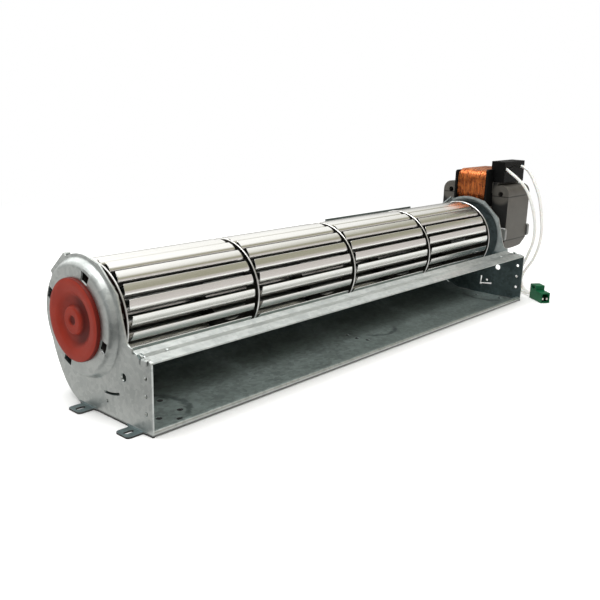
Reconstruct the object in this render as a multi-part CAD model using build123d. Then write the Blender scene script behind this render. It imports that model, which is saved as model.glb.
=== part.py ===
from build123d import *
import math
import os

# Cross flow fan: a long bladed wheel turning in a folded sheet duct, driven by a C-frame motor.
# X runs along the wheel from its bearing end to its motor end, the air leaves towards -Y, +Z is up.
# The origin lies in the plane of the feet, midway between the four foot slots.
# Sections are drawn about the wheel's axis: their first coordinate is Y, their second is Z.

# Wheel
WHEEL_R = 30.0
BLADE_DEPTH = 6.0
BLADE_COUNT = 24
BLADE_T = 0.4
BLADE_EXIT_ANGLE = 30.0
FIRST_TIP_ANGLE = 4.0
BAY_COUNT = 4
BAY_LENGTH = 90.0
DISC_T = 1.0
RING_BORE_R = 20.0
NOTCH_DEPTH = 2.7
NOTCH_HALF_LENGTH = 3.5
SLOT_CLEARANCE = 0.15
TAB_LENGTH = 2.4
TAB_INSET = 0.5

# Shafts and their fits
SHAFT_R = 3.0
RUN_CLEARANCE = 0.03
FIT_CLEARANCE = 0.02
RUBBER_CLEARANCE = 0.05
SLEEVE_R = 6.0
SLEEVE_LENGTH = 7.0
STUB_COLLAR_R = 5.5
STUB_COLLAR_T = 2.0
STUB_RIVET_R = 5.0
STUB_RIVET_T = 1.2
STUB_NECK_R = 4.0
STUB_LENGTH = 12.0
STUB_CHAMFER = 0.5
HUB_R = 8.0
HUB_LENGTH = 9.5
HUB_FLANGE_R = 12.0
HUB_FLANGE_T = 2.0
HUB_NECK_R = 6.0
HUB_RIVET_T = 0.8
SET_SCREW_R = 2.0
SET_SCREW_PROUD = 0.4

# Height and depth of the axis from the middle of the feet
AXIS_Y = 22.5
AXIS_Z = 48.5

# End plates and the gaps beside the wheel
PLATE_T = 1.0
BEARING_GAP = 6.0
MOTOR_GAP = 12.2
PLATE_OVERLAP = 0.4
PLATE_FRONT = 56.0
OUTLET_TOP = -10.5
PLATE_NECK = (-37.0, -6.0)
PLATE_SHOULDER = (-30.0, 18.0)
PLATE_CORNER = (-15.8, 30.7)
PLATE_EDGE = 1.2
PLATE_MEET_TURN = 9.0
NECK_FILLET = 4.0
CORNER_FILLET = 1.5

# Duct sheet, measured on its outer face
SHEET_T = 0.8
WHEEL_CLEARANCE = 3.0
SCROLL_START = 38.0
SCROLL_END = -5.0
SCROLL_OPEN_R = 67.6
SCROLL_OPEN_TURN = 30.0
HEM_R = 1.6
HEM_RETURN = 1.5
LUG_START = 31.9
LUG_LENGTH = 110.0
LUG_HEIGHT = 5.5
LUG_LEAN = 75.0
LUG_ROOT = 0.4
FLOOR_HOLE_R = 1.7
FLOOR_HOLES = (
    (-159.9, 0.6), (-160.0, -16.4), (-174.9, -18.0), (-167.4, -25.4),
    (6.9, 4.5), (5.9, -4.5), (8.4, -12.1), (178.9, 0.5), (182.9, -19.2),
)

# Tongue strip over the outlet
TONGUE_CLEARANCE = 3.1
TONGUE_CREASE = 44.5
TONGUE_FRONT_SLOPE = 11.6
TONGUE_REAR_SLOPE = 15.0
TONGUE_TABS = ((-43.5, 5.0), (-51.2, 4.5))
TONGUE_TAB_DROP = 3.0
TONGUE_TAB_ROOT = 1.0
TONGUE_TAB_BEND = 1.2
TONGUE_TAB_SEAT = 0.2
TONGUE_NOTCH_W = 0.4
TONGUE_NOTCH_H = 1.4
CREASE_BEND = 1.0

# Domed boss on each end plate
BOSS_INSET = 1.2
BOSS_HEIGHT = 4.2
BOSS_SLOPE = 60.0
BOSS_BASE_BEND = 1.2
BOSS_TOP_BEND = 3.2
BOSS_ROOT = 1.0
BOSS_WINDOW_IN = 22.4
BOSS_WINDOW_OUT = 27.5
BOSS_WINDOW_ANGLE = 14.0
BOSS_WINDOWS = (22.0, 112.0, 202.0, 292.0)

# Ear flange that grips the top edge of the duct sheet
EAR_RISE = 1.0
EAR_ANGLE = 49.0
EAR_LENGTH = 17.9
EAR_WIDTH = 6.5

# Feet
FOOT_RISE = 8.0
FOOT_REACH = 10.5
FOOT_WIDTH = 16.0
FOOT_SPACING = 42.0
FOOT_SLOT_OUT = 5.7
FOOT_SLOT_LENGTH = 6.4
FOOT_SLOT_W = 4.2
FOOT_BEND = 1.0
FOOT_CORNER = 2.5

# Holes pressed in the end plates
FRONT_HOLES = ((-51.3, -19.2), (-51.3, -28.3), (-51.3, -37.4))
FRONT_HOLE_R = 1.7
WIRE_HOLE = (-33.5, -23.4)
WIRE_HOLE_R = 2.7
PILOT_HOLE = (-18.8, -39.9)
PILOT_HOLE_R = 1.5
BEARING_END_LANCE = ((-16.5, -35.3), (-23.0, -34.9), (-29.6, -33.2))
MOTOR_END_LANCE = ((-19.0, -33.0), (-18.5, -39.4), (-29.0, -38.4))
LANCE_W = 1.4
LANCE_PILOT = (-24.4, -36.0)
LANCE_PILOT_R = 1.0

# Rubber bearing mount, radii and distances out of the boss's face
MOUNT_GROOVE_R = 19.0
MOUNT_FLANGE_R = 22.0
MOUNT_FLANGE_T = 2.2
MOUNT_BACK_R = 21.0
MOUNT_BACK_T = 1.8
MOUNT_RECESS_OUT = 16.0
MOUNT_RECESS_IN = 14.5
MOUNT_WEB_T = 1.4
MOUNT_WEB_OUT = 0.2
MOUNT_RIM_CHAMFER = 0.8
MOUNT_HUB_R = 8.2
MOUNT_NOSE_R = 7.5
MOUNT_NOSE = 2.6
MOUNT_EYE_R = 3.2
MOUNT_FRONT_WALL = 1.2

# Motor, sections about the wheel's axis
MOTOR_GAP_OUT = 10.8
STACK_LENGTH = 38.5
STACK_HALF_W = 31.5
STACK_SIDE_BOTTOM = -3.2
STACK_CHAMFER = (27.3, -10.5)
STACK_BOTTOM = -19.0
STACK_BORE_R = 14.0
LOBE_R = 7.5
LOBE_Z = 36.5
LOBE_HOLE_R = 2.2
LEG_INNER = 16.5
LEG_TONGUE_W = 4.0
LEG_TOP = 46.0
WINDOW_BOTTOM = 20.0
AIR_GAP = 0.4
ROTOR_INSET = 0.8
ROTOR_RING_T = 2.5
ROTOR_RING_R = 12.4
BAR_BOTTOM = 37.0
SHADING_R = 17.0
SHADING_ANGLES = (36.0, 66.0)
SHADING_WIRE = 1.8
SHADING_CLEARANCE = 0.1

# Bobbin and coil on the core bar
BOBBIN_CLEARANCE = 0.15
BOBBIN_WALL = 1.0
BOBBIN_FLANGE_T = 2.0
BOBBIN_FLANGE_OUT = 15.6
BOBBIN_FLANGE_X = 57.5
BOBBIN_FLANGE_BOTTOM = 28.2
BOBBIN_FLANGE_TOP = 56.8
BOBBIN_CORNER_R = 2.0
COIL_X = 54.5
COIL_BOTTOM = 28.6
COIL_TOP = 56.0
COIL_CORNER_R = 8.0

# Terminal box, hooked over the front flange of the bobbin
BOX_LENGTH = 35.5
BOX_FRONT = -25.6
BOX_BACK = -13.1
BOX_TOP = 63.6
BOX_WALL = 1.2
BOX_SEAT_CLEARANCE = 0.1
PIN_W = 2.8
PIN_T = 0.8

# Bearing brackets, their screws and nuts
BRACKET_STRAP_T = 3.0
BRACKET_HALF_W = 33.0
BRACKET_STRAP_H = 10.5
BRACKET_STRAP_Z = 3.2
BRACKET_STRAP_CORNER_R = 2.0
BRACKET_CENTRE_R = 13.0
BRACKET_FLANGE_R = 20.0
BRACKET_FLANGE_T = 4.0
BRACKET_CUP_R = 9.5
BRACKET_CUP_H = 8.5
BRACKET_CUP_FLOOR = 1.2
BRACKET_SHAFT_HOLE_R = 4.0
SHAFT_END_GAP = 1.0
MOTOR_SLEEVE_LENGTH = 5.2
CLAMP_Y = 25.0
CLAMP_SCREW_R = 2.0
CLAMP_HOLE_R = 2.2
CLAMP_HEAD_R = 3.7
CLAMP_HEAD_T = 2.6
NUT_WIDTH = 7.0
NUT_T = 3.0
SCREW_OVERRUN = 1.5
MOUNTING_SCREW_CIRCLE = 15.0
MOUNTING_SCREW_ANGLES = (90.0, 210.0, 330.0)
MOUNTING_SCREW_GRIP = 3.2
MOUNTING_SCREW_SPARE = 0.3
CENTRE_HOLE_R = 10.0

# Leads and the connector that lies on the floor: their first coordinate is measured out of the
# motor end plate's face
LEAD_D = 2.4
LEAD_1 = (
    (14.3, -2.3, 106.2), (15.3, -13.1, 99.5), (16.3, -21.8, 91.1), (17.3, -27.3, 79.1),
    (18.3, -30.7, 66.8), (19.3, -31.6, 55.8), (20.3, -30.4, 46.1), (21.3, -27.2, 37.3),
    (22.3, -22.7, 26.4), (23.8, -18.2, 17.4), (25.0, -16.6, 9.4), (25.1, -20.6, 3.6),
    (23.2, -26.6, 1.3), (19.6, -31.9, 3.4), (13.5, -40.3, 3.4),
)
LEAD_2 = (
    (40.3, -2.9, 107.5), (39.2, -8.9, 106.3), (38.1, -16.0, 98.4), (37.0, -22.4, 87.2),
    (35.9, -26.3, 77.4), (34.7, -29.4, 64.1), (33.6, -31.0, 56.3), (32.5, -30.8, 42.4),
    (31.4, -26.9, 28.9), (30.1, -20.4, 18.8), (29.2, -17.9, 9.8), (28.9, -21.4, 3.5),
    (26.9, -28.2, 1.3), (22.8, -34.2, 3.4), (16.8, -42.7, 3.4),
)
CONNECTOR_REAR = (18.6, -36.7)
CONNECTOR_HEADING = -125.5
CONNECTOR_LENGTH = 19.0
CONNECTOR_W = 8.0
CONNECTOR_HUMP_H = 12.6
CONNECTOR_HUMP_LENGTH = 9.5
CONNECTOR_NOSE_H = 8.6
CONNECTOR_WALL = 1.1
CONNECTOR_ENTRY_Z = 3.4
CONNECTOR_ENTRY_SPACING = 4.0
CONNECTOR_LATCH_SLOT = (4.0, 2.2)
TERMINAL_LENGTH = 12.0
TERMINAL_SIZE = 1.8
TERMINAL_INSET = 1.0

# Places that follow from the sizes above
BLADE_ROOT_R = WHEEL_R - BLADE_DEPTH
SCROLL_R = WHEEL_R + WHEEL_CLEARANCE
TONGUE_REACH = WHEEL_R + TONGUE_CLEARANCE
PLATE_R = SCROLL_R + PLATE_OVERLAP
BOSS_R = PLATE_R - BOSS_INSET
EAR_R = PLATE_R + EAR_RISE
NOTCH_R = WHEEL_R - NOTCH_DEPTH
WHEEL_LENGTH = BAY_COUNT * BAY_LENGTH
SPAN = WHEEL_LENGTH + DISC_T + BEARING_GAP + MOTOR_GAP + 2 * PLATE_T
BEARING_FACE = -SPAN / 2
MOTOR_FACE = SPAN / 2
FIRST_DISC = BEARING_FACE + PLATE_T + BEARING_GAP + DISC_T / 2
LAST_DISC = FIRST_DISC + WHEEL_LENGTH
DISC_PLACES = [FIRST_DISC + BAY_LENGTH * bay for bay in range(BAY_COUNT + 1)]
STACK_START = MOTOR_FACE + MOTOR_GAP_OUT
STACK_END = STACK_START + STACK_LENGTH
STACK_MIDDLE = STACK_START + STACK_LENGTH / 2
BAR_Z = (BAR_BOTTOM + LEG_TOP) / 2
ROTOR_R = STACK_BORE_R - AIR_GAP
WHEEL_AXIS = Axis((0, AXIS_Y, AXIS_Z), (1, 0, 0))
FEET = (-AXIS_Y - FOOT_SPACING / 2, -AXIS_Y + FOOT_SPACING / 2)


def polar(radius, degrees, centre=(0.0, 0.0)):
    turn = math.radians(degrees)
    return centre[0] + radius * math.cos(turn), centre[1] + radius * math.sin(turn)


def across(x):
    """Plane square to the wheel's axis at x, its own axes along Y and Z from the wheel's centre."""
    return Plane(origin=(x, AXIS_Y, AXIS_Z), x_dir=(0, 1, 0), z_dir=(1, 0, 0))


def along(x, outward):
    """Plane through the wheel's axis: its first axis runs out from x, its second is the radius."""
    return Plane(origin=(x, AXIS_Y, AXIS_Z), x_dir=(outward, 0, 0), z_dir=(0, -outward, 0))


def slab(face, x, thickness):
    return extrude(across(x) * face, amount=thickness, dir=(1, 0, 0))


def turned(profile, x, outward):
    """Solid of revolution about the wheel's axis from (distance out of x, radius) corners."""
    return revolve(along(x, outward) * make_face(Polyline(*profile, close=True)), axis=WHEEL_AXIS)


def bush(x, length, outer_r, inner_r):
    return slab(Circle(outer_r) - Circle(inner_r), x, length)


def cylinder(x, length, radius, place=(0.0, 0.0)):
    return slab(Pos(*place) * Circle(radius), x, length)


def arc_band(centre, inner_r, outer_r, start, sweep_angle):
    """Face between two arcs about one centre."""
    end = start + sweep_angle
    outer = CenterArc(centre, outer_r, start, sweep_angle)
    inner = CenterArc(centre, inner_r, start, sweep_angle)
    first = Line(polar(inner_r, start, centre), polar(outer_r, start, centre))
    last = Line(polar(inner_r, end, centre), polar(outer_r, end, centre))
    return make_face(Curve() + [outer, last, inner, first])


def bend_line(start, heading, runs, offset=0.0):
    """Edges of a bent sheet's face: a run is a flat's length, or a bend's (radius, turn).

    The line is the sheet's left-hand face. The offset steps to the right, into its thickness.
    """
    here = start
    edges = []
    for run in runs:
        right = polar(1.0, heading - 90.0)
        near = (here[0] + offset * right[0], here[1] + offset * right[1])
        if isinstance(run, tuple):
            radius, turn = run
            side = -math.copysign(1.0, turn)
            centre = (here[0] + side * radius * right[0], here[1] + side * radius * right[1])
            from_centre = heading + 90.0 * side
            edges.append(CenterArc(centre, radius - side * offset, from_centre, turn))
            heading += turn
            here = polar(radius, from_centre + turn, centre)
        else:
            step = polar(run, heading)
            here = (here[0] + step[0], here[1] + step[1])
            edges.append(Line(near, (near[0] + step[0], near[1] + step[1])))
    return edges, here, heading


def bent_sheet(start, heading, runs, thickness):
    """Section of a bent sheet of even thickness."""
    left, end, end_heading = bend_line(start, heading, runs)
    right = bend_line(start, heading, runs, thickness)[0]
    in_start = polar(thickness, heading - 90.0, start)
    in_end = polar(thickness, end_heading - 90.0, end)
    return make_face(Curve() + left + [Line(end, in_end)] + right + [Line(start, in_start)])


# Wheel

def blade_curve():
    """Radius, centre and centre angle of the first blade's arc, which leaves its root radially."""
    exit_angle = math.radians(BLADE_EXIT_ANGLE)
    curve_r = (WHEEL_R**2 - BLADE_ROOT_R**2) / (2 * WHEEL_R * math.cos(exit_angle))
    centre_r = math.hypot(BLADE_ROOT_R, curve_r)
    to_tip = math.acos((WHEEL_R**2 + centre_r**2 - curve_r**2) / (2 * WHEEL_R * centre_r))
    centre_angle = FIRST_TIP_ANGLE - math.degrees(to_tip)
    return curve_r, polar(centre_r, centre_angle), centre_angle


def blade_turn(radius):
    """Direction from the blade's own centre to its point at this distance from the axis."""
    curve_r, centre, centre_angle = blade_curve()
    centre_r = math.hypot(*centre)
    at_centre = math.acos((centre_r**2 + curve_r**2 - radius**2) / (2 * centre_r * curve_r))
    return centre_angle + 180.0 - math.degrees(at_centre)


def blade_band(thickness, inner_r, tip):
    """Face along the first blade's curve, from this radius out to a direction at its own centre."""
    curve_r, centre, _ = blade_curve()
    sweep_angle = blade_turn(inner_r) - tip
    return arc_band(centre, curve_r - thickness / 2, curve_r + thickness / 2, tip, sweep_angle)


def blade_chord(inner_r, outer_r):
    """Middle, direction, length and rise of the chord between two radii of the first blade."""
    curve_r, centre, _ = blade_curve()
    inner = polar(curve_r, blade_turn(inner_r), centre)
    outer = polar(curve_r, blade_turn(outer_r), centre)
    length = math.dist(inner, outer)
    direction = math.degrees(math.atan2(outer[1] - inner[1], outer[0] - inner[0]))
    rise = curve_r - math.sqrt(curve_r**2 - length**2 / 4)
    middle = ((inner[0] + outer[0]) / 2, (inner[1] + outer[1]) / 2)
    return middle, direction, length, rise


def blade():
    """First blade: one strip along the whole wheel, notched at each disc, a tab at each end."""
    start = FIRST_DISC - DISC_T / 2 - BLADE_T
    tip = blade_turn(WHEEL_R)
    strip = slab(blade_band(BLADE_T, BLADE_ROOT_R, tip), start, WHEEL_LENGTH + DISC_T + 2 * BLADE_T)
    notch = blade_band(2 * BLADE_T, NOTCH_R, 2 * tip - blade_turn(NOTCH_R))
    for x in DISC_PLACES:
        strip -= slab(notch, x - NOTCH_HALF_LENGTH, 2 * NOTCH_HALF_LENGTH)
    middle, direction, length, _ = blade_chord(BLADE_ROOT_R + TAB_INSET, NOTCH_R - TAB_INSET)
    tab = Pos(*middle) * Rot(0, 0, direction) * Pos(0, -TAB_LENGTH / 2) * Rectangle(length, TAB_LENGTH)
    strip += slab(tab, start, BLADE_T)
    strip += slab(tab, LAST_DISC + DISC_T / 2, BLADE_T)
    return strip


def wheel_blades():
    first = blade()
    pitch = 360.0 / BLADE_COUNT
    return Compound([first.rotate(WHEEL_AXIS, pitch * k).solid() for k in range(BLADE_COUNT)])


def disc(x, bore_r):
    """Slotted disc that the blades pass through."""
    middle, direction, length, rise = blade_chord(BLADE_ROOT_R, NOTCH_R)
    shift = Pos(0, rise / 2)
    size = (length + 2 * SLOT_CLEARANCE, BLADE_T + rise + 2 * SLOT_CLEARANCE)
    slot = Pos(*middle) * Rot(0, 0, direction) * shift * Rectangle(*size)
    pitch = 360.0 / BLADE_COUNT
    slots = [Rot(0, 0, pitch * k) * slot for k in range(BLADE_COUNT)]
    return slab(Circle(WHEEL_R) - Circle(bore_r) - slots, x - DISC_T / 2, DISC_T)


def support_discs():
    first = disc(DISC_PLACES[1], RING_BORE_R)
    return Compound([(Pos(BAY_LENGTH * k, 0, 0) * first).solid() for k in range(BAY_COUNT - 1)])


def stub_shaft():
    """Stepped pin riveted in the bearing end disc."""
    inner = DISC_T + STUB_RIVET_T
    profile = (
        (-inner, 0), (-inner, STUB_RIVET_R), (-DISC_T, STUB_RIVET_R), (-DISC_T, STUB_NECK_R),
        (0, STUB_NECK_R), (0, STUB_COLLAR_R), (STUB_COLLAR_T, STUB_COLLAR_R),
        (STUB_COLLAR_T, SHAFT_R), (STUB_LENGTH - STUB_CHAMFER, SHAFT_R),
        (STUB_LENGTH, SHAFT_R - STUB_CHAMFER), (STUB_LENGTH, 0),
    )
    return turned(profile, FIRST_DISC - DISC_T / 2, -1)


def wheel_hub():
    """Flanged hub riveted in the motor end disc, bored for the motor shaft."""
    bore = SHAFT_R + FIT_CLEARANCE
    inner = DISC_T + HUB_RIVET_T
    profile = (
        (-inner, bore), (-inner, HUB_R), (-DISC_T, HUB_R), (-DISC_T, HUB_NECK_R),
        (0, HUB_NECK_R), (0, HUB_FLANGE_R), (HUB_FLANGE_T, HUB_FLANGE_R), (HUB_FLANGE_T, HUB_R),
        (HUB_LENGTH, HUB_R), (HUB_LENGTH, bore),
    )
    hub = turned(profile, LAST_DISC + DISC_T / 2, 1)
    return hub - radial_pin(SET_SCREW_R + FIT_CLEARANCE, 0.0, 2 * HUB_R)


def radial_pin(radius, start_r, end_r):
    """Upright cylinder through the hub's wall, between two distances from the axis."""
    x = LAST_DISC + DISC_T / 2 + (HUB_FLANGE_T + HUB_LENGTH) / 2
    return extrude(Plane(origin=(x, AXIS_Y, AXIS_Z + start_r)) * Circle(radius), amount=end_r - start_r)


def hub_set_screw():
    return radial_pin(SET_SCREW_R, SHAFT_R + FIT_CLEARANCE, HUB_R + SET_SCREW_PROUD)


def motor_shaft():
    start = LAST_DISC - DISC_T / 2 - HUB_RIVET_T
    end = STACK_END + BRACKET_CUP_H - BRACKET_CUP_FLOOR - SHAFT_END_GAP
    return cylinder(start, end - start, SHAFT_R)


def rotor_core():
    """Laminated core with a cast ring at each end."""
    bore = SHAFT_R + FIT_CLEARANCE
    start = STACK_START + ROTOR_INSET
    length = STACK_LENGTH - 2 * ROTOR_INSET
    core = bush(start + ROTOR_RING_T, length - 2 * ROTOR_RING_T, ROTOR_R, bore)
    core += bush(start, length, ROTOR_RING_R, bore)
    return core


# Duct

def scroll_runs(edge=0.0):
    """Bends of the duct sheet from the top of the scroll to the start of its flat floor.

    The edge widens every bend, for an outline that runs outside the sheet.
    """
    concentric = (SCROLL_R, SCROLL_END - SCROLL_START)
    opening = (SCROLL_OPEN_R, -SCROLL_OPEN_TURN)
    start = polar(SCROLL_R, SCROLL_START)
    _, low, heading = bend_line(start, SCROLL_START - 90, [concentric, opening])
    turn = -180.0 - heading
    closing = ((low[1] + AXIS_Z) / (1 - math.cos(math.radians(turn))), turn)
    return [(radius + edge, turn) for radius, turn in (concentric, opening, closing)]


def scroll_floor_start():
    """Y, about the axis, where the scroll ends and the flat floor begins."""
    start = polar(SCROLL_R, SCROLL_START)
    return bend_line(start, SCROLL_START - 90, scroll_runs())[1][0]


def housing_sheet():
    """Scroll, floor and hemmed lip, folded from one sheet, with the lug on its top edge."""
    floor = PLATE_FRONT + scroll_floor_start() - HEM_R
    runs = [*scroll_runs(), floor, (HEM_R, -180.0), HEM_RETURN]
    section = bent_sheet(polar(SCROLL_R, SCROLL_START), SCROLL_START - 90, runs, SHEET_T)
    start = BEARING_FACE + PLATE_T
    sheet = slab(section, start, SPAN - 2 * PLATE_T)
    corner = polar(SCROLL_R, SCROLL_START)
    lug_top = polar(LUG_HEIGHT, LUG_LEAN, corner)
    lug = bent_sheet(lug_top, LUG_LEAN - 180, [LUG_HEIGHT + LUG_ROOT], SHEET_T)
    sheet += slab(lug, LUG_START, LUG_LENGTH)
    for x, y in FLOOR_HOLES:
        hole = Plane(origin=(x, y, -SHEET_T)) * Circle(FLOOR_HOLE_R)
        sheet -= extrude(hole, amount=3 * SHEET_T)
    return sheet


def tongue_section():
    """Strip that closes the outlet from above, creased along its middle."""
    front_run = (PLATE_FRONT - TONGUE_CREASE) / math.cos(math.radians(TONGUE_FRONT_SLOPE))
    rear_run = (TONGUE_CREASE - TONGUE_REACH) / math.cos(math.radians(TONGUE_REAR_SLOPE))
    crease = (CREASE_BEND, TONGUE_REAR_SLOPE - TONGUE_FRONT_SLOPE)
    return bent_sheet(
        (-PLATE_FRONT, OUTLET_TOP), TONGUE_FRONT_SLOPE, [front_run, crease, rear_run], SHEET_T)


def tongue_height(y):
    """Height of the strip's upper face in front of its crease."""
    return OUTLET_TOP + (y + PLATE_FRONT) * math.tan(math.radians(TONGUE_FRONT_SLOPE))


def tongue_tab(y, width, face, outward):
    """Tab that runs through the plate's notch and folds down over its outer face."""
    top = tongue_height(y)
    root = PLATE_T + TONGUE_TAB_ROOT
    inside = face - outward * root
    drop = TONGUE_TAB_DROP - TONGUE_TAB_BEND
    runs = [root - TONGUE_TAB_SEAT, (TONGUE_TAB_BEND, -90.0), drop]
    section = bent_sheet((0.0, 0.0), 0.0, runs, SHEET_T)
    plane = Plane(
        origin=(inside, AXIS_Y + y - outward * width / 2, AXIS_Z + top),
        x_dir=(outward, 0, 0), z_dir=(0, -outward, 0))
    return extrude(plane * section, amount=-width, dir=(0, -outward, 0))


def tongue_strip():
    strip = slab(tongue_section(), BEARING_FACE + PLATE_T, SPAN - 2 * PLATE_T)
    for y, width in TONGUE_TABS:
        strip += tongue_tab(y, width, BEARING_FACE, -1)
        strip += tongue_tab(y, width, MOTOR_FACE, 1)
    return strip


# End plates

def plate_outline():
    """Flat outline of an end plate, following the scroll round the rear."""
    corner_r = math.hypot(*PLATE_CORNER)
    corner_angle = math.degrees(math.atan2(PLATE_CORNER[1], PLATE_CORNER[0]))
    touch = corner_angle - math.degrees(math.acos(PLATE_R / corner_r))
    low_start = polar(SCROLL_R + PLATE_EDGE, SCROLL_END)
    rear, low_end, _ = bend_line(low_start, SCROLL_END - 90, scroll_runs(PLATE_EDGE)[1:])
    meet = SCROLL_END + PLATE_MEET_TURN
    top = CenterArc((0, 0), PLATE_R, touch, meet - touch)
    bottom = (-PLATE_FRONT, low_end[1])
    front = [
        low_end, bottom, (-PLATE_FRONT, OUTLET_TOP), PLATE_NECK, PLATE_SHOULDER, PLATE_CORNER,
        polar(PLATE_R, touch),
    ]
    edges = [top, Line(polar(PLATE_R, meet), low_start), *rear]
    edges += [Line(*pair) for pair in zip(front, front[1:])]
    face = Sketch() + make_face(Curve() + edges)
    neck = face.vertices().sort_by_distance((*PLATE_NECK, 0))[0]
    face = fillet(neck, NECK_FILLET)
    corners = [face.vertices().sort_by_distance((*place, 0))[0] for place in
               (PLATE_CORNER, (-PLATE_FRONT, OUTLET_TOP))]
    face = fillet(corners, CORNER_FILLET)
    below = Pos(0, -AXIS_Z - PLATE_FRONT) * Rectangle(4 * PLATE_FRONT, 2 * PLATE_FRONT)
    return face - below


def ear_face():
    """Tongue of the plate's outline that carries the ear."""
    return Rot(0, 0, EAR_ANGLE) * Pos(EAR_R - EAR_WIDTH / 2) * Rectangle(EAR_WIDTH, EAR_LENGTH)


def boss_corners(base_r, hole_r):
    """Corners of the boss's outer face, from the flat plate in to its hole, each bend two chords."""
    turn = math.radians(BOSS_SLOPE)
    slope = (BOSS_HEIGHT - (BOSS_BASE_BEND + BOSS_TOP_BEND) * (1 - math.cos(turn))) / math.sin(turn)
    runs = [BOSS_ROOT, (BOSS_BASE_BEND, BOSS_SLOPE), slope, (BOSS_TOP_BEND, -BOSS_SLOPE)]
    edges, top, _ = bend_line((0.0, base_r + BOSS_ROOT), -90.0, runs)
    corners = [(0.0, base_r + BOSS_ROOT)]
    for edge in edges:
        if edge.geom_type == GeomType.CIRCLE:
            corners.append(tuple(edge @ 0.5)[:2])
        corners.append(tuple(edge @ 1)[:2])
    return [*corners, (top[0], hole_r)]


def sheet_corners(line, thickness):
    """Corners of a sheet of even thickness, from the corners of its left-hand face."""
    normals = []
    for (x1, y1), (x2, y2) in zip(line, line[1:]):
        length = math.hypot(x2 - x1, y2 - y1)
        normals.append(((y2 - y1) / length, (x1 - x2) / length))
    far = []
    for place, before, after in zip(line, [normals[0], *normals], [*normals, normals[-1]]):
        share = thickness / (1 + before[0] * after[0] + before[1] * after[1])
        step = (share * (before[0] + after[0]), share * (before[1] + after[1]))
        far.append((place[0] + step[0], place[1] + step[1]))
    return [*line, *reversed(far)]


def boss(face, outward, base_r, hole_r):
    return turned(sheet_corners(boss_corners(base_r, hole_r), PLATE_T), face, outward)


def boss_windows(face):
    """Air windows round the shoulder of the bearing end's boss."""
    half = BOSS_WINDOW_ANGLE / 2
    windows = []
    for angle in BOSS_WINDOWS:
        window = arc_band((0, 0), BOSS_WINDOW_IN, BOSS_WINDOW_OUT, angle - half, 2 * half)
        windows.append(slab(window, face - 2 * BOSS_HEIGHT, 4 * BOSS_HEIGHT))
    return windows


def foot(face, outward, y):
    """Tab folded outwards from the plate's bottom edge, slotted for a screw."""
    start = (0.0, -AXIS_Z + FOOT_RISE)
    runs = [FOOT_RISE - PLATE_T - FOOT_BEND, (FOOT_BEND, 90.0), FOOT_REACH - FOOT_BEND]
    section = bent_sheet(start, -90.0, runs, PLATE_T)
    plane = Plane(
        origin=(face, AXIS_Y + y - outward * FOOT_WIDTH / 2, AXIS_Z),
        x_dir=(outward, 0, 0), z_dir=(0, -outward, 0))
    tab = extrude(plane * section, amount=-FOOT_WIDTH, dir=(0, -outward, 0))
    corners = tab.edges().filter_by(Axis.Z).group_by(Axis.X)[-1 if outward > 0 else 0]
    tab = fillet(corners, FOOT_CORNER)
    slot_plane = Plane(origin=(face + outward * FOOT_SLOT_OUT, AXIS_Y + y, -PLATE_T))
    slot = slot_plane * SlotOverall(FOOT_SLOT_LENGTH, FOOT_SLOT_W)
    return tab - extrude(slot, amount=3 * PLATE_T)


def end_plate(face, outward, hole_r, lance):
    """Pressed end plate: outline, boss, ear, feet, holes and a lanced slot."""
    low = min(face, face - outward * PLATE_T)
    outline = plate_outline() + ear_face() - Circle(BOSS_R) - trace(lance, LANCE_W)
    for place in FRONT_HOLES:
        outline -= Pos(*place) * Circle(FRONT_HOLE_R)
    outline -= Pos(*WIRE_HOLE) * Circle(WIRE_HOLE_R)
    outline -= Pos(*PILOT_HOLE) * Circle(PILOT_HOLE_R)
    for y, width in TONGUE_TABS:
        notch = Rectangle(width + TONGUE_NOTCH_W, 2 * SHEET_T + TONGUE_NOTCH_H)
        outline -= Pos(y, tongue_height(y)) * notch
    for y in FEET:
        outline -= Pos(y, -AXIS_Z) * Rectangle(FOOT_WIDTH, 2 * (PLATE_T + FOOT_BEND))
    plate = slab(outline, low, PLATE_T)
    plate += boss(face, outward, BOSS_R, hole_r)
    for y in FEET:
        plate += foot(face, outward, y)
    ear = Rot(0, 0, EAR_ANGLE) * Pos(EAR_R - PLATE_T / 2) * Rectangle(PLATE_T, EAR_LENGTH)
    ear_start = min(face, face - outward * (PLATE_T + EAR_WIDTH))
    plate += slab(ear, ear_start, PLATE_T + EAR_WIDTH)
    return plate


def bearing_end_plate():
    lance = ThreePointArc(*BEARING_END_LANCE)
    plate = end_plate(BEARING_FACE, -1, MOUNT_GROOVE_R + RUBBER_CLEARANCE, lance)
    return plate - boss_windows(BEARING_FACE)


def motor_end_plate():
    plate = end_plate(MOTOR_FACE, 1, CENTRE_HOLE_R, Polyline(*MOTOR_END_LANCE))
    plate -= cylinder(MOTOR_FACE - PLATE_T, PLATE_T, LANCE_PILOT_R, LANCE_PILOT)
    for place in mounting_screw_places():
        plate -= cylinder(MOTOR_FACE, 2 * BOSS_HEIGHT, CLAMP_HOLE_R, place)
    return plate


# Bearing end

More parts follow.
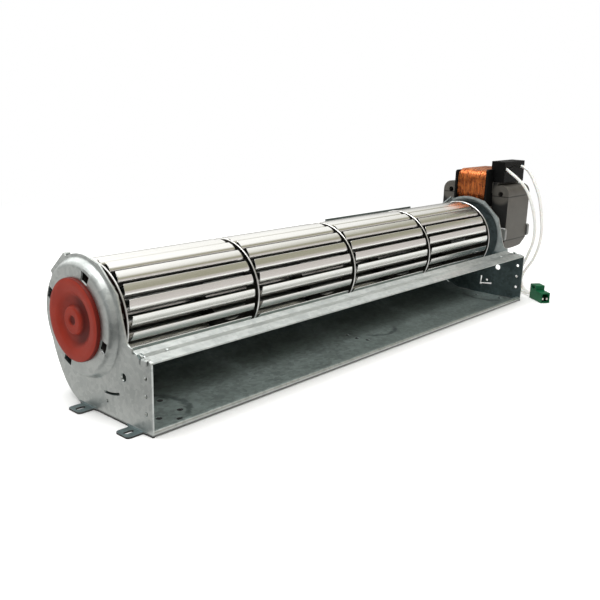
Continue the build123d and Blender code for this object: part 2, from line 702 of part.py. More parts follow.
def bearing_mount():
    """Rubber disc that snaps into the boss's hole and holds the sleeve in its hub."""
    back = -PLATE_T - MOUNT_BACK_T
    pocket = MOUNT_NOSE - MOUNT_FRONT_WALL
    sleeve_r = SLEEVE_R + RUBBER_CLEARANCE
    hub_back = pocket - SLEEVE_LENGTH
    profile = (
        (MOUNT_NOSE, MOUNT_EYE_R), (MOUNT_NOSE, MOUNT_NOSE_R), (MOUNT_WEB_OUT, MOUNT_HUB_R),
        (MOUNT_WEB_OUT, MOUNT_RECESS_IN), (MOUNT_FLANGE_T, MOUNT_RECESS_OUT),
        (MOUNT_FLANGE_T, MOUNT_FLANGE_R - MOUNT_RIM_CHAMFER),
        (MOUNT_FLANGE_T - MOUNT_RIM_CHAMFER, MOUNT_FLANGE_R),
        (0, MOUNT_FLANGE_R), (0, MOUNT_GROOVE_R), (-PLATE_T, MOUNT_GROOVE_R),
        (-PLATE_T, MOUNT_BACK_R), (back, MOUNT_RECESS_OUT),
        (MOUNT_WEB_OUT - MOUNT_WEB_T, MOUNT_HUB_R),
        (hub_back, MOUNT_HUB_R), (hub_back, sleeve_r), (pocket, sleeve_r), (pocket, MOUNT_EYE_R),
    )
    return turned(profile, BEARING_FACE - BOSS_HEIGHT, -1)


def bearing_sleeve():
    end = BEARING_FACE - BOSS_HEIGHT - (MOUNT_NOSE - MOUNT_FRONT_WALL)
    return bush(end, SLEEVE_LENGTH, SLEEVE_R, SHAFT_R + RUN_CLEARANCE)


# Motor

def clamp_places():
    return (-CLAMP_Y, BRACKET_STRAP_Z), (CLAMP_Y, BRACKET_STRAP_Z)


def mounting_screw_places():
    return [polar(MOUNTING_SCREW_CIRCLE, angle) for angle in MOUNTING_SCREW_ANGLES]


def shading_places():
    """Pairs of slots beside the bore that one shading ring passes through."""
    return [[polar(SHADING_R, angle + flip) for angle in SHADING_ANGLES] for flip in (0.0, 180.0)]


def shading_turn():
    first, last = shading_places()[0]
    return math.degrees(math.atan2(last[1] - first[1], last[0] - first[0]))


def stack_face():
    """Lamination: bored yoke, two legs and the screw lobes at their tops."""
    side = (STACK_HALF_W, STACK_SIDE_BOTTOM)
    corners = [(-side[0], LOBE_Z), (-side[0], side[1]), (-STACK_CHAMFER[0], STACK_CHAMFER[1])]
    mirrored = [(-y, z) for y, z in reversed(corners)]
    edges = [Line(*pair) for pair in zip(corners, corners[1:])]
    edges.append(ThreePointArc(corners[-1], (0, STACK_BOTTOM), mirrored[0]))
    edges += [Line(*pair) for pair in zip(mirrored, mirrored[1:])]
    edges.append(Line(mirrored[-1], corners[0]))
    face = Sketch() + make_face(Curve() + edges)
    for sign in (-1, 1):
        lobe = Pos(sign * (STACK_HALF_W - LOBE_R), LOBE_Z)
        face += lobe * Circle(LOBE_R)
        tongue_y = sign * (LEG_INNER + LEG_TONGUE_W / 2)
        face += Pos(tongue_y, LEG_TOP - LOBE_R) * Rectangle(LEG_TONGUE_W, 2 * LOBE_R)
        face -= lobe * Circle(LOBE_HOLE_R)
    window_h = LEG_TOP + LOBE_R - WINDOW_BOTTOM
    face -= Pos(0, WINDOW_BOTTOM + window_h / 2) * Rectangle(2 * LEG_INNER, window_h)
    face -= Circle(STACK_BORE_R)
    for place in clamp_places():
        face -= Pos(*place) * Circle(CLAMP_HOLE_R)
    slot = SHADING_WIRE + 2 * SHADING_CLEARANCE
    for pair in shading_places():
        for place in pair:
            face -= Pos(*place) * Rot(0, 0, shading_turn()) * Rectangle(slot, slot)
    return face


def stator_stack():
    return slab(stack_face(), STACK_START, STACK_LENGTH)


def core_bar():
    """Bar that closes the frame above the coil window, pressed between the legs."""
    section = Pos(0, BAR_Z) * Rectangle(2 * LEG_INNER, LEG_TOP - BAR_BOTTOM)
    return slab(section, STACK_START, STACK_LENGTH)


def shading_rings():
    rings = []
    for first, last in shading_places():
        middle = ((first[0] + last[0]) / 2, (first[1] + last[1]) / 2)
        chord = math.dist(first, last)
        place = Pos(STACK_MIDDLE, AXIS_Y + middle[0], AXIS_Z + middle[1]) * Rot(shading_turn(), 0, 0)
        length = STACK_LENGTH + 2 * SHADING_CLEARANCE
        outer = Box(length + 2 * SHADING_WIRE, chord + SHADING_WIRE, SHADING_WIRE)
        ring = outer - Box(length, chord - SHADING_WIRE, SHADING_WIRE)
        rings.append((place * ring).solid())
    return Compound(rings)


def bobbin():
    """Moulded tube round the core bar with a flange at each end."""
    inner_x = STACK_LENGTH + 2 * BOBBIN_CLEARANCE
    inner_z = LEG_TOP - BAR_BOTTOM + 2 * BOBBIN_CLEARANCE
    middle_z = (BOBBIN_FLANGE_TOP + BOBBIN_FLANGE_BOTTOM) / 2
    place = Pos(STACK_MIDDLE, AXIS_Y, AXIS_Z + BAR_Z)
    tube = Box(inner_x + 2 * BOBBIN_WALL, 2 * BOBBIN_FLANGE_OUT, inner_z + 2 * BOBBIN_WALL)
    hole = Box(inner_x, 3 * BOBBIN_FLANGE_OUT, inner_z)
    flange = Box(BOBBIN_FLANGE_X, BOBBIN_FLANGE_T, BOBBIN_FLANGE_TOP - BOBBIN_FLANGE_BOTTOM)
    flange = fillet(flange.edges().filter_by(Axis.Y), BOBBIN_CORNER_R)
    y = BOBBIN_FLANGE_OUT - BOBBIN_FLANGE_T / 2
    flanges = [Pos(0, sign * y, middle_z - BAR_Z) * flange for sign in (-1, 1)]
    return place * (tube + flanges - hole)


def coil_winding():
    tube_x = STACK_LENGTH + 2 * (BOBBIN_CLEARANCE + BOBBIN_WALL)
    tube_z = LEG_TOP - BAR_BOTTOM + 2 * (BOBBIN_CLEARANCE + BOBBIN_WALL)
    width = 2 * (BOBBIN_FLANGE_OUT - BOBBIN_FLANGE_T)
    plane = Plane(
        origin=(STACK_MIDDLE, AXIS_Y + width / 2, AXIS_Z + BAR_Z),
        x_dir=(1, 0, 0), z_dir=(0, -1, 0))
    lift = (COIL_TOP + COIL_BOTTOM) / 2 - BAR_Z
    section = Pos(0, lift) * RectangleRounded(COIL_X, COIL_TOP - COIL_BOTTOM, COIL_CORNER_R)
    section -= Rectangle(tube_x, tube_z)
    return extrude(plane * section, amount=width, dir=(0, -1, 0))


def box_section():
    """Hollow section of the terminal box: it stands on the leg and hooks over the flange."""
    behind = -BOBBIN_FLANGE_OUT - BOX_SEAT_CLEARANCE
    step = BOBBIN_FLANGE_TOP + BOX_SEAT_CLEARANCE
    outer = (
        (BOX_FRONT, LEG_TOP), (behind, LEG_TOP), (behind, step), (BOX_BACK, step),
        (BOX_BACK, BOX_TOP), (BOX_FRONT, BOX_TOP),
    )
    cavity = (
        (BOX_FRONT + BOX_WALL, LEG_TOP + BOX_WALL), (behind - BOX_WALL, LEG_TOP + BOX_WALL),
        (behind - BOX_WALL, BOX_TOP - BOX_WALL), (BOX_FRONT + BOX_WALL, BOX_TOP - BOX_WALL),
    )
    return make_face(Polyline(*outer, close=True)), make_face(Polyline(*cavity, close=True))


def lead_exit(route):
    """Hole for a lead, along its first run."""
    start, towards = from_motor_end(route[:2])
    plane = Plane(origin=start, z_dir=towards - start)
    return extrude(plane * Circle(LEAD_D / 2 + BOX_SEAT_CLEARANCE), amount=3 * BOX_WALL, both=True)


def terminal_box():
    outer, cavity = box_section()
    box = slab(outer, STACK_START, BOX_LENGTH)
    box -= slab(cavity, STACK_START + BOX_WALL, BOX_LENGTH - 2 * BOX_WALL)
    for route in (LEAD_1, LEAD_2):
        box -= lead_exit(route)
    return box


def terminal_pins():
    """Two flat pins on the box's floor, each touching the end of its lead."""
    pins = []
    for route in (LEAD_1, LEAD_2):
        x, y, z = from_motor_end(route)[0]
        floor = AXIS_Z + LEG_TOP + BOX_WALL
        height = z + LEAD_D / 2 - floor
        place = Pos(x, y + LEAD_D / 2 + PIN_T / 2, floor + height / 2)
        pins.append((place * Box(PIN_W, PIN_T, height)).solid())
    return Compound(pins)


def strap_face():
    """Bracket seen along the axis: a bar across the frame round a central disc."""
    strap = RectangleRounded(2 * BRACKET_HALF_W, BRACKET_STRAP_H, BRACKET_STRAP_CORNER_R)
    face = Pos(0, BRACKET_STRAP_Z) * strap + Circle(BRACKET_CENTRE_R)
    for place in clamp_places():
        face -= Pos(*place) * Circle(CLAMP_HOLE_R)
    return face


def inner_motor_bracket():
    """Cast bracket between the end plate's boss and the stack, bored for its bearing."""
    seat = MOTOR_FACE + BOSS_HEIGHT
    bracket = slab(strap_face(), STACK_START - BRACKET_STRAP_T, BRACKET_STRAP_T)
    bracket += cylinder(seat, BRACKET_FLANGE_T, BRACKET_FLANGE_R)
    pocket = STACK_START - MOTOR_SLEEVE_LENGTH
    bracket -= cylinder(seat, STACK_START - seat, BRACKET_SHAFT_HOLE_R)
    bracket -= cylinder(pocket, MOTOR_SLEEVE_LENGTH, SLEEVE_R + FIT_CLEARANCE)
    for place in mounting_screw_places():
        hole = cylinder(
            seat, MOUNTING_SCREW_GRIP + MOUNTING_SCREW_SPARE, CLAMP_SCREW_R + FIT_CLEARANCE, place)
        bracket -= hole
    return bracket


def outer_motor_bracket():
    """Cast bracket behind the stack, with a blind cup for the outer bearing."""
    bracket = slab(strap_face(), STACK_END, BRACKET_STRAP_T)
    bracket += cylinder(STACK_END, BRACKET_CUP_H, BRACKET_CUP_R)
    depth = BRACKET_CUP_H - BRACKET_CUP_FLOOR
    bracket -= cylinder(STACK_END, depth, BRACKET_SHAFT_HOLE_R)
    bracket -= cylinder(STACK_END, MOTOR_SLEEVE_LENGTH, SLEEVE_R + FIT_CLEARANCE)
    return bracket


def motor_bearing(x):
    return bush(x, MOTOR_SLEEVE_LENGTH, SLEEVE_R, SHAFT_R + RUN_CLEARANCE)


def bracket_screws():
    head = STACK_START - BRACKET_STRAP_T
    end = STACK_END + BRACKET_STRAP_T + NUT_T + SCREW_OVERRUN
    screws = []
    for place in clamp_places():
        screw = cylinder(head, end - head, CLAMP_SCREW_R, place)
        screw += cylinder(head - CLAMP_HEAD_T, CLAMP_HEAD_T, CLAMP_HEAD_R, place)
        screws.append(screw.solid())
    return Compound(screws)


def bracket_nuts():
    nut = RegularPolygon(NUT_WIDTH / 2, 6, major_radius=False) - Circle(CLAMP_SCREW_R + FIT_CLEARANCE)
    start = STACK_END + BRACKET_STRAP_T
    return Compound([slab(Pos(*place) * nut, start, NUT_T).solid() for place in clamp_places()])


def motor_mounting_screws():
    """Screws from inside the boss into the bracket's flange."""
    inside = MOTOR_FACE + BOSS_HEIGHT - PLATE_T
    screws = []
    for place in mounting_screw_places():
        screw = cylinder(inside - CLAMP_HEAD_T, CLAMP_HEAD_T, CLAMP_HEAD_R, place)
        screw += cylinder(inside, PLATE_T + MOUNTING_SCREW_GRIP, CLAMP_SCREW_R, place)
        screws.append(screw.solid())
    return Compound(screws)


# Leads and connector

def from_motor_end(route):
    return [Vector(MOTOR_FACE + x, y, z) for x, y, z in route]


def lead_radii(points):
    """Radius at each corner of a lead: as large as the shorter of its two runs allows."""
    radii = []
    for before, here, after in zip(points, points[1:], points[2:]):
        arriving = here - before
        leaving = after - here
        half_turn = math.radians(arriving.get_angle(leaving)) / 2
        radii.append(0.45 * min(arriving.length, leaving.length) / math.tan(half_turn))
    return radii


def lead(route):
    points = from_motor_end(route)
    radii = lead_radii(points)
    print("lead radii", [round(radius, 1) for radius in radii])
    path = FilletPolyline(*points, radius=radii)
    tube = sweep(Plane(origin=path @ 0, z_dir=path % 0) * Circle(LEAD_D / 2), path=path)
    expected = math.pi * (LEAD_D / 2) ** 2 * path.length
    print("lead length", round(path.length, 1), "volume over section times length",
          round(tube.volume / expected, 4))
    return tube


def connector_plane():
    """Frame of the connector on the floor: first axis to its front, third up."""
    heading = polar(1.0, CONNECTOR_HEADING)
    rear = (MOTOR_FACE + CONNECTOR_REAR[0], CONNECTOR_REAR[1], 0)
    return Plane(origin=rear, x_dir=(*heading, 0), z_dir=(0, 0, 1))


def connector_rows():
    half = CONNECTOR_ENTRY_SPACING / 2
    return half, -half


def connector_housing():
    """Two-way housing: tall latch hump at the rear, open box at the front."""
    nose = CONNECTOR_LENGTH - CONNECTOR_HUMP_LENGTH
    body = Pos(CONNECTOR_HUMP_LENGTH / 2, 0, CONNECTOR_HUMP_H / 2) * Box(
        CONNECTOR_HUMP_LENGTH, CONNECTOR_W, CONNECTOR_HUMP_H)
    body += Pos(CONNECTOR_HUMP_LENGTH + nose / 2, 0, CONNECTOR_NOSE_H / 2) * Box(
        nose, CONNECTOR_W, CONNECTOR_NOSE_H)
    slot = Box(CONNECTOR_LATCH_SLOT[0], 2 * CONNECTOR_W, CONNECTOR_LATCH_SLOT[1])
    slot_z = CONNECTOR_HUMP_H - CONNECTOR_WALL - CONNECTOR_LATCH_SLOT[1] / 2
    body -= Pos(CONNECTOR_HUMP_LENGTH / 2, 0, slot_z) * slot
    mouth_w = CONNECTOR_W - 2 * CONNECTOR_WALL
    mouth_h = CONNECTOR_NOSE_H - 2 * CONNECTOR_WALL
    mouth = Box(nose, mouth_w, mouth_h)
    body -= Pos(CONNECTOR_HUMP_LENGTH + nose / 2 + CONNECTOR_WALL, 0, CONNECTOR_NOSE_H / 2) * mouth
    for row in connector_rows():
        entry = Plane(origin=(0, row, CONNECTOR_ENTRY_Z), x_dir=(0, 1, 0), z_dir=(1, 0, 0))
        hole = entry * Circle(LEAD_D / 2 + BOX_SEAT_CLEARANCE)
        body -= extrude(hole, amount=CONNECTOR_HUMP_LENGTH + 2 * CONNECTOR_WALL)
    return connector_plane().location * body


def connector_terminals():
    pins = []
    for row in connector_rows():
        x = CONNECTOR_LENGTH - TERMINAL_INSET - TERMINAL_LENGTH / 2
        pin = Pos(x, row, CONNECTOR_ENTRY_Z) * Box(TERMINAL_LENGTH, TERMINAL_SIZE, TERMINAL_SIZE)
        pins.append((connector_plane().location * pin).solid())
    return Compound(pins)


NODES = {
    "housing_sheet": housing_sheet,
    "tongue_strip": tongue_strip,
    "bearing_end_plate": bearing_end_plate,
    "motor_end_plate": motor_end_plate,
    "bearing_mount": bearing_mount,
    "bearing_sleeve": bearing_sleeve,
    "stator_stack": stator_stack,
    "core_bar": core_bar,
    "shading_rings": shading_rings,
    "bobbin": bobbin,
    "coil_winding": coil_winding,
    "terminal_box": terminal_box,
    "terminal_pins": terminal_pins,
    "inner_motor_bracket": inner_motor_bracket,
    "outer_motor_bracket": outer_motor_bracket,
    "inner_motor_bearing": lambda: motor_bearing(STACK_START - MOTOR_SLEEVE_LENGTH),
    "outer_motor_bearing": lambda: motor_bearing(STACK_END),
    "bracket_screws": bracket_screws,
    "bracket_nuts": bracket_nuts,
    "motor_mounting_screws": motor_mounting_screws,
    "lead_1": lambda: lead(LEAD_1),
    "lead_2": lambda: lead(LEAD_2),
    "connector_housing": connector_housing,
    "connector_terminals": connector_terminals,
    "wheel_blades": wheel_blades,
    "bearing_end_disc": lambda: disc(FIRST_DISC, STUB_NECK_R + FIT_CLEARANCE),
    "support_discs": support_discs,
    "motor_end_disc": lambda: disc(LAST_DISC, HUB_NECK_R + FIT_CLEARANCE),
    "stub_shaft": stub_shaft,
    "wheel_hub": wheel_hub,
    "hub_set_screw": hub_set_screw,
    "motor_shaft": motor_shaft,
    "rotor_core": rotor_core,
}

os.makedirs("parts", exist_ok=True)
for name, make in NODES.items():
    export_step(make(), f"parts/{name}.step")
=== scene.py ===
import math

import bmesh
import bpy
from mathutils import Matrix, Vector


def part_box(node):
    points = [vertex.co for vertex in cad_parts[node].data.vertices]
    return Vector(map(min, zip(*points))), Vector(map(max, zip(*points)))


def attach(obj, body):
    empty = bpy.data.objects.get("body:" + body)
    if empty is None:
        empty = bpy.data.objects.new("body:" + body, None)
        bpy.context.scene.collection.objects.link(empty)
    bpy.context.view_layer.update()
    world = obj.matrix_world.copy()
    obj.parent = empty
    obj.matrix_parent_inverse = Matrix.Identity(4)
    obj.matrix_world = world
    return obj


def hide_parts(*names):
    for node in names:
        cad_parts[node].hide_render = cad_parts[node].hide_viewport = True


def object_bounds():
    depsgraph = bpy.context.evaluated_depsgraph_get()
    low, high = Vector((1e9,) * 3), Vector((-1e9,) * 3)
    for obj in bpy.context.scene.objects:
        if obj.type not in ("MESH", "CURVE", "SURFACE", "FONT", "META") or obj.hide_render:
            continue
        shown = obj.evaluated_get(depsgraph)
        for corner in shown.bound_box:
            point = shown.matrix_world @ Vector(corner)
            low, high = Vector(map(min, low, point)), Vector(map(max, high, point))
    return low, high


# Cross flow fan: the looks of its sheet, wheel, motor, leads and connector.
# Lengths are in metres. X runs along the wheel to the motor, the air leaves towards -Y, +Z is up.

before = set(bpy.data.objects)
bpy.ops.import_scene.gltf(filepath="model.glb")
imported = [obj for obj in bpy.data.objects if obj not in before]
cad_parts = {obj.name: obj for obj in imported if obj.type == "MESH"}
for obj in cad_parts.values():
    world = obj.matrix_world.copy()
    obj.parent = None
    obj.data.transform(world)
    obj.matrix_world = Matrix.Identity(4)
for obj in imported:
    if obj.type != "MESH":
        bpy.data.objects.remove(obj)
cad_box = [list(corner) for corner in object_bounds()]

MM = 0.001

# Where the frame puts things
SHEET_LOW, SHEET_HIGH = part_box("housing_sheet")
PLATE_T = 1.0 * MM
BEARING_FACE = SHEET_LOW.x - PLATE_T
MOTOR_FACE = SHEET_HIGH.x + PLATE_T
SHAFT_LOW, SHAFT_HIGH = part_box("motor_shaft")
AXIS = (SHAFT_LOW + SHAFT_HIGH) / 2
AXIS.x = 0.0
STACK_LOW, STACK_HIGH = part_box("stator_stack")
COIL_LOW, COIL_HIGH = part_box("coil_winding")
BLADES_LOW, BLADES_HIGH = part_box("wheel_blades")

# Wheel. A blade's runs go from its tip inwards: each one's length, and how far it turns in degrees
WHEEL_R = 30.0 * MM
BLADE_COUNT = 22
BLADE_T = 0.4 * MM
BLADE_EXIT_ANGLE = 7.5
BLADE_RUNS = ((3.9 * MM, 11.0), (4.2 * MM, 78.0), (1.6 * MM, 0.0))
RUN_STEPS = 8
BLADE_STEPS = 18
BLADE_EDGE = 0.08 * MM
FIRST_TIP_ANGLE = 6.4
BAY_COUNT = 4
BAY_LENGTH = 90.0 * MM
DISC_T = 1.0 * MM
DISC_ROUND = 0.25 * MM
NOTCH_R = 27.3 * MM
NOTCH_HALF_LENGTH = 2.3 * MM
NOTCH_CORNER = 1.3 * MM
NOTCH_EDGE = 0.05 * MM
TAB_WIDTH = 2.8 * MM
TAB_HEIGHT = 2.6 * MM
TAB_OUT = 1.2 * MM
LEFT_DISC_SHIFT = 1.2 * MM

# Leads: their route in millimetres, the first coordinate out of the motor end plate's face
LEAD_D = 2.4 * MM
LEAD_1 = (
    (14.3, -2.3, 106.2), (15.3, -13.1, 99.5), (16.3, -21.8, 91.1), (17.3, -27.3, 79.1),
    (18.3, -30.7, 66.8), (19.3, -31.6, 55.8), (20.3, -30.4, 46.1), (21.3, -27.2, 37.3),
    (22.3, -22.7, 26.4), (23.8, -18.2, 17.4), (25.0, -16.6, 9.4), (25.1, -20.6, 3.6),
    (23.2, -26.6, 1.3), (19.6, -31.9, 3.4), (13.5, -40.3, 3.4),
)
LEAD_2 = (
    (40.3, -2.9, 107.5), (39.2, -8.9, 106.3), (38.1, -16.0, 98.4), (37.0, -22.4, 87.2),
    (35.9, -26.3, 77.4), (34.7, -29.4, 64.1), (33.6, -31.0, 56.3), (32.5, -30.8, 42.4),
    (31.4, -26.9, 28.9), (30.1, -20.4, 18.8), (29.2, -17.9, 9.8), (28.9, -21.4, 3.5),
    (26.9, -28.2, 1.3), (22.8, -34.2, 3.4), (16.8, -42.7, 3.4),
)


# Node trees, for finishes and for what repeats

class Flow:
    """A socket that carries a value. Its operators add Math nodes to its tree."""

    def __init__(self, owner, socket):
        self.owner = owner
        self.socket = socket

    def math(self, operation, *others):
        kind = self.owner.math_kind
        values = dict(enumerate((self, *others)))
        return self.owner.node(kind, {"operation": operation}, values)

    def __add__(self, other):
        return self.math("ADD", other)

    __radd__ = __add__

    def __mul__(self, other):
        return self.math("MULTIPLY", other)

    __rmul__ = __mul__

    def __sub__(self, other):
        return self.math("SUBTRACT", other)

    def __rsub__(self, other):
        return self.owner.node(self.owner.math_kind, {"operation": "SUBTRACT"}, {0: other, 1: self})

    def __truediv__(self, other):
        return self.math("DIVIDE", other)

    def clamp(self):
        return self.math("MINIMUM", 1.0).math("MAXIMUM", 0.0)

    def step(self, low, high):
        """0 below the low value, 1 above the high one, smooth between."""
        share = ((self - low) / (high - low)).clamp()
        return share * share * (3.0 - 2.0 * share)


class Nodes:
    """A node tree in the making."""

    math_kind = "ShaderNodeMath"

    def __init__(self, tree):
        self.tree = tree

    def node(self, kind, settings=None, inputs=None, output=0):
        node = self.tree.nodes.new(kind)
        for name, value in (settings or {}).items():
            setattr(node, name, value)
        for key, value in (inputs or {}).items():
            self.feed(node.inputs[key], value)
        return Flow(self, node.outputs[output])

    def feed(self, socket, value):
        if isinstance(value, Flow):
            self.tree.links.new(value.socket, socket)
        else:
            socket.default_value = value

    def mix(self, share, first, second):
        """Colour between two colours."""
        inputs = {0: share, 6: colour(first), 7: colour(second)}
        return self.node("ShaderNodeMix", {"data_type": "RGBA"}, inputs, 2)


def colour(value):
    """A colour as a node takes it, from three linear numbers."""
    return value if isinstance(value, Flow) else (*value, 1.0)


class Finish(Nodes):
    """A material: constants are set on its shader's sockets, and patterns are linked to them."""

    def __init__(self, name, **constants):
        self.material = bpy.data.materials.new(name)
        self.material.use_nodes = True
        super().__init__(self.material.node_tree)
        self.shader = self.tree.nodes["Principled BSDF"]
        for socket, value in constants.items():
            self.set(socket.replace("_", " "), value)

    def set(self, socket, value):
        if socket.endswith("Color"):
            value = colour(value)
        self.feed(self.shader.inputs[socket], value)

    def place(self, stretch=(1.0, 1.0, 1.0)):
        """Object coordinates, stretched for a pattern that runs one way."""
        where = self.node("ShaderNodeTexCoord", output="Object")
        return self.node("ShaderNodeMapping", None, {"Vector": where, "Scale": stretch})

    def cloud(self, size, detail, stretch=(1.0, 1.0, 1.0)):
        """Noise from 0 to 1 about 0.5, whose features are about this size."""
        inputs = {"Vector": self.place(stretch), "Scale": 1.0 / size, "Detail": detail,
                  "Roughness": 0.55}
        return self.node("ShaderNodeTexNoise", None, inputs)

    def crystals(self, size):
        """A random number for each grain of a crystal pattern."""
        inputs = {"Vector": self.place(), "Scale": 1.0 / size}
        cells = self.node("ShaderNodeTexVoronoi", None, inputs, "Color")
        return self.node("ShaderNodeSeparateColor", None, {0: cells})

    def attribute(self, name):
        """A number that the mesh keeps for each face."""
        return self.node("ShaderNodeAttribute", {"attribute_name": name}, None, "Fac")

    def axis(self, index):
        """Object coordinate along X, Y or Z."""
        where = self.node("ShaderNodeTexCoord", output="Object")
        return self.node("ShaderNodeSeparateXYZ", None, {0: where}, index)

    def around_axis(self):
        """How far back from the wheel's axis a point lies, how far up, and its radius."""
        back = self.axis(1) - AXIS.y
        up = self.axis(2) - AXIS.z
        return back, up, (back * back + up * up).math("SQRT")

    def bump(self, height, distance, strength):
        inputs = {"Height": height, "Distance": distance, "Strength": strength}
        self.set("Normal", self.node("ShaderNodeBump", None, inputs))


class Pattern(Nodes):
    """A Geometry Nodes tree with named inputs. It ends in Realize Instances and Set Material."""

    def __init__(self, name, **inputs):
        super().__init__(bpy.data.node_groups.new(name, "GeometryNodeTree"))
        face = self.tree.interface
        face.new_socket("Geometry", in_out="INPUT", socket_type="NodeSocketGeometry")
        for label, kind in inputs.items():
            face.new_socket(label, in_out="INPUT", socket_type=f"NodeSocket{kind}")
        face.new_socket("Material", in_out="INPUT", socket_type="NodeSocketMaterial")
        face.new_socket("Geometry", in_out="OUTPUT", socket_type="NodeSocketGeometry")
        self.entry = self.tree.nodes.new("NodeGroupInput")

    def given(self, label):
        return Flow(self, self.entry.outputs[label])

    def random(self, low, high, seed_step):
        """A random number for each copy, from the tree's seed."""
        inputs = {2: low, 3: high, 8: self.given("Seed").math("ADD", float(seed_step))}
        return self.node("FunctionNodeRandomValue", {"data_type": "FLOAT"}, inputs, 1)

    def vector(self, x, y, z):
        return self.node("ShaderNodeCombineXYZ", None, {0: x, 1: y, 2: z})

    def turn(self, vector):
        return self.node("FunctionNodeEulerToRotation", None, {0: vector})

    def close(self, geometry):
        """Ends the tree in one mesh with its material."""
        geometry = self.node("GeometryNodeRealizeInstances", None, {0: geometry})
        inputs = {"Geometry": geometry, "Material": self.given("Material")}
        geometry = self.node("GeometryNodeSetMaterial", None, inputs)
        output = self.tree.nodes.new("NodeGroupOutput")
        self.feed(output.inputs[0], geometry)
        return self.tree


def ring_pattern():
    """Copies of a mesh turned about the X axis through its origin, then moved to the centre."""
    tree = Pattern("ring", Count="Int", Centre="Vector", Wobble="Float", Seed="Int")
    points = tree.node("GeometryNodePoints", None, {"Count": tree.given("Count"),
                                                    "Position": tree.given("Centre")})
    index = tree.node("GeometryNodeInputIndex")
    wobble = tree.given("Wobble")
    angle = index * (2 * math.pi) / tree.given("Count") + wobble * tree.random(-1.0, 1.0, 0)
    inputs = {"Points": points, "Instance": tree.given("Geometry"),
              "Rotation": tree.turn(tree.vector(angle, 0.0, 0.0))}
    return tree.close(tree.node("GeometryNodeInstanceOnPoints", None, inputs))


def row_pattern():
    """Copies of a mesh at even steps."""
    tree = Pattern("row", Count="Int", Start="Vector", Step="Vector")
    inputs = {"Count": tree.given("Count"), "Start Location": tree.given("Start"),
              "Offset": tree.given("Step")}
    line = tree.node("GeometryNodeMeshLine", {"mode": "OFFSET"}, inputs)
    inputs = {"Points": line, "Instance": tree.given("Geometry")}
    return tree.close(tree.node("GeometryNodeInstanceOnPoints", None, inputs))


def winding_pattern():
    """Turns of wire along Y about the centre, from one closed loop, each a little off its place."""
    tree = Pattern("winding", Count="Int", Width="Float", Wire="Float", Tilt="Float",
                   Spread="Float", Centre="Vector", Seed="Int")
    index = tree.node("GeometryNodeInputIndex")
    share = (index + 0.5) / tree.given("Count") - 0.5
    along = share * tree.given("Width") + tree.given("Wire") * tree.random(-0.5, 0.5, 1)
    centre = tree.given("Centre")
    place = tree.node("ShaderNodeVectorMath", {"operation": "ADD"},
                      {0: centre, 1: tree.vector(0.0, along, 0.0)})
    points = tree.node("GeometryNodePoints", None, {"Count": tree.given("Count"), "Position": place})
    tilt = tree.given("Tilt")
    turn = tree.vector(tilt * tree.random(-1.0, 1.0, 2), 0.0, tilt * tree.random(-0.6, 0.6, 3))
    size = tree.given("Spread") * tree.random(-1.0, 1.0, 4) + 1.0
    loop = tree.node("GeometryNodeMeshToCurve", None, {0: tree.given("Geometry")})
    inputs = {"Points": points, "Instance": loop, "Rotation": tree.turn(turn),
              "Scale": tree.vector(size, 1.0, size)}
    loops = tree.node("GeometryNodeInstanceOnPoints", None, inputs)
    loops = tree.node("GeometryNodeRealizeInstances", None, {0: loops})
    round_wire = tree.node("GeometryNodeCurvePrimitiveCircle", {"mode": "RADIUS"},
                           {"Resolution": 6, "Radius": tree.given("Wire")})
    return tree.close(tree.node("GeometryNodeCurveToMesh", None, {0: loops, 1: round_wire}))


def grown(mesh, tree, finish, **sizes):
    """The plain mesh that a tree makes from a mesh."""
    carrier = bpy.data.objects.new(mesh.name, mesh)
    bpy.context.scene.collection.objects.link(carrier)
    modifier = carrier.modifiers.new("pattern", "NODES")
    modifier.node_group = tree
    sizes["Material"] = finish.material
    for item in tree.interface.items_tree:
        if item.in_out == "INPUT" and item.name in sizes:
            modifier[item.identifier] = sizes[item.name]
    graph = bpy.context.evaluated_depsgraph_get()
    result = bpy.data.meshes.new_from_object(carrier.evaluated_get(graph))
    bpy.data.objects.remove(carrier)
    return result


# Meshes

def finished(name, mesh, finish, body, replaced, smooth=35.0):
    """Puts a mesh in the scene as a piece on a body, in place of the nodes that it stands for."""
    mesh.name = name
    mesh.materials.clear()
    mesh.materials.append(finish.material)
    mesh.shade_smooth()
    mesh.set_sharp_from_angle(angle=math.radians(smooth))
    piece = bpy.data.objects.new(name, mesh)
    bpy.context.scene.collection.objects.link(piece)
    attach(piece, body)
    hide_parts(*replaced)
    return piece


def node_shape(node):
    """Merged copy of a node's mesh with its flat faces whole again."""
    shape = bmesh.new()
    shape.from_mesh(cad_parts[node].data)
    bmesh.ops.remove_doubles(shape, verts=shape.verts, dist=0.001 * MM)
    bmesh.ops.dissolve_limit(
        shape, angle_limit=math.radians(0.5), verts=shape.verts, edges=shape.edges)
    return shape


def as_mesh(shape, name):
    """Mesh of a shape, which is used up."""
    mesh = bpy.data.meshes.new(name)
    shape.to_mesh(mesh)
    shape.free()
    return mesh


def soften(piece, width, segments=2, angle=35.0, clamp=False):
    """Rounds off the piece's sharp edges and keeps its flats flat. Short edges need the clamp."""
    bevel = piece.modifiers.new("edges", "BEVEL")
    bevel.width = width
    bevel.segments = segments
    bevel.limit_method = "ANGLE"
    bevel.angle_limit = math.radians(angle)
    bevel.use_clamp_overlap = clamp
    bevel.miter_outer = "MITER_ARC"
    flat = piece.modifiers.new("flats", "WEIGHTED_NORMAL")
    flat.keep_sharp = True
    flat.weight = 80
    return piece


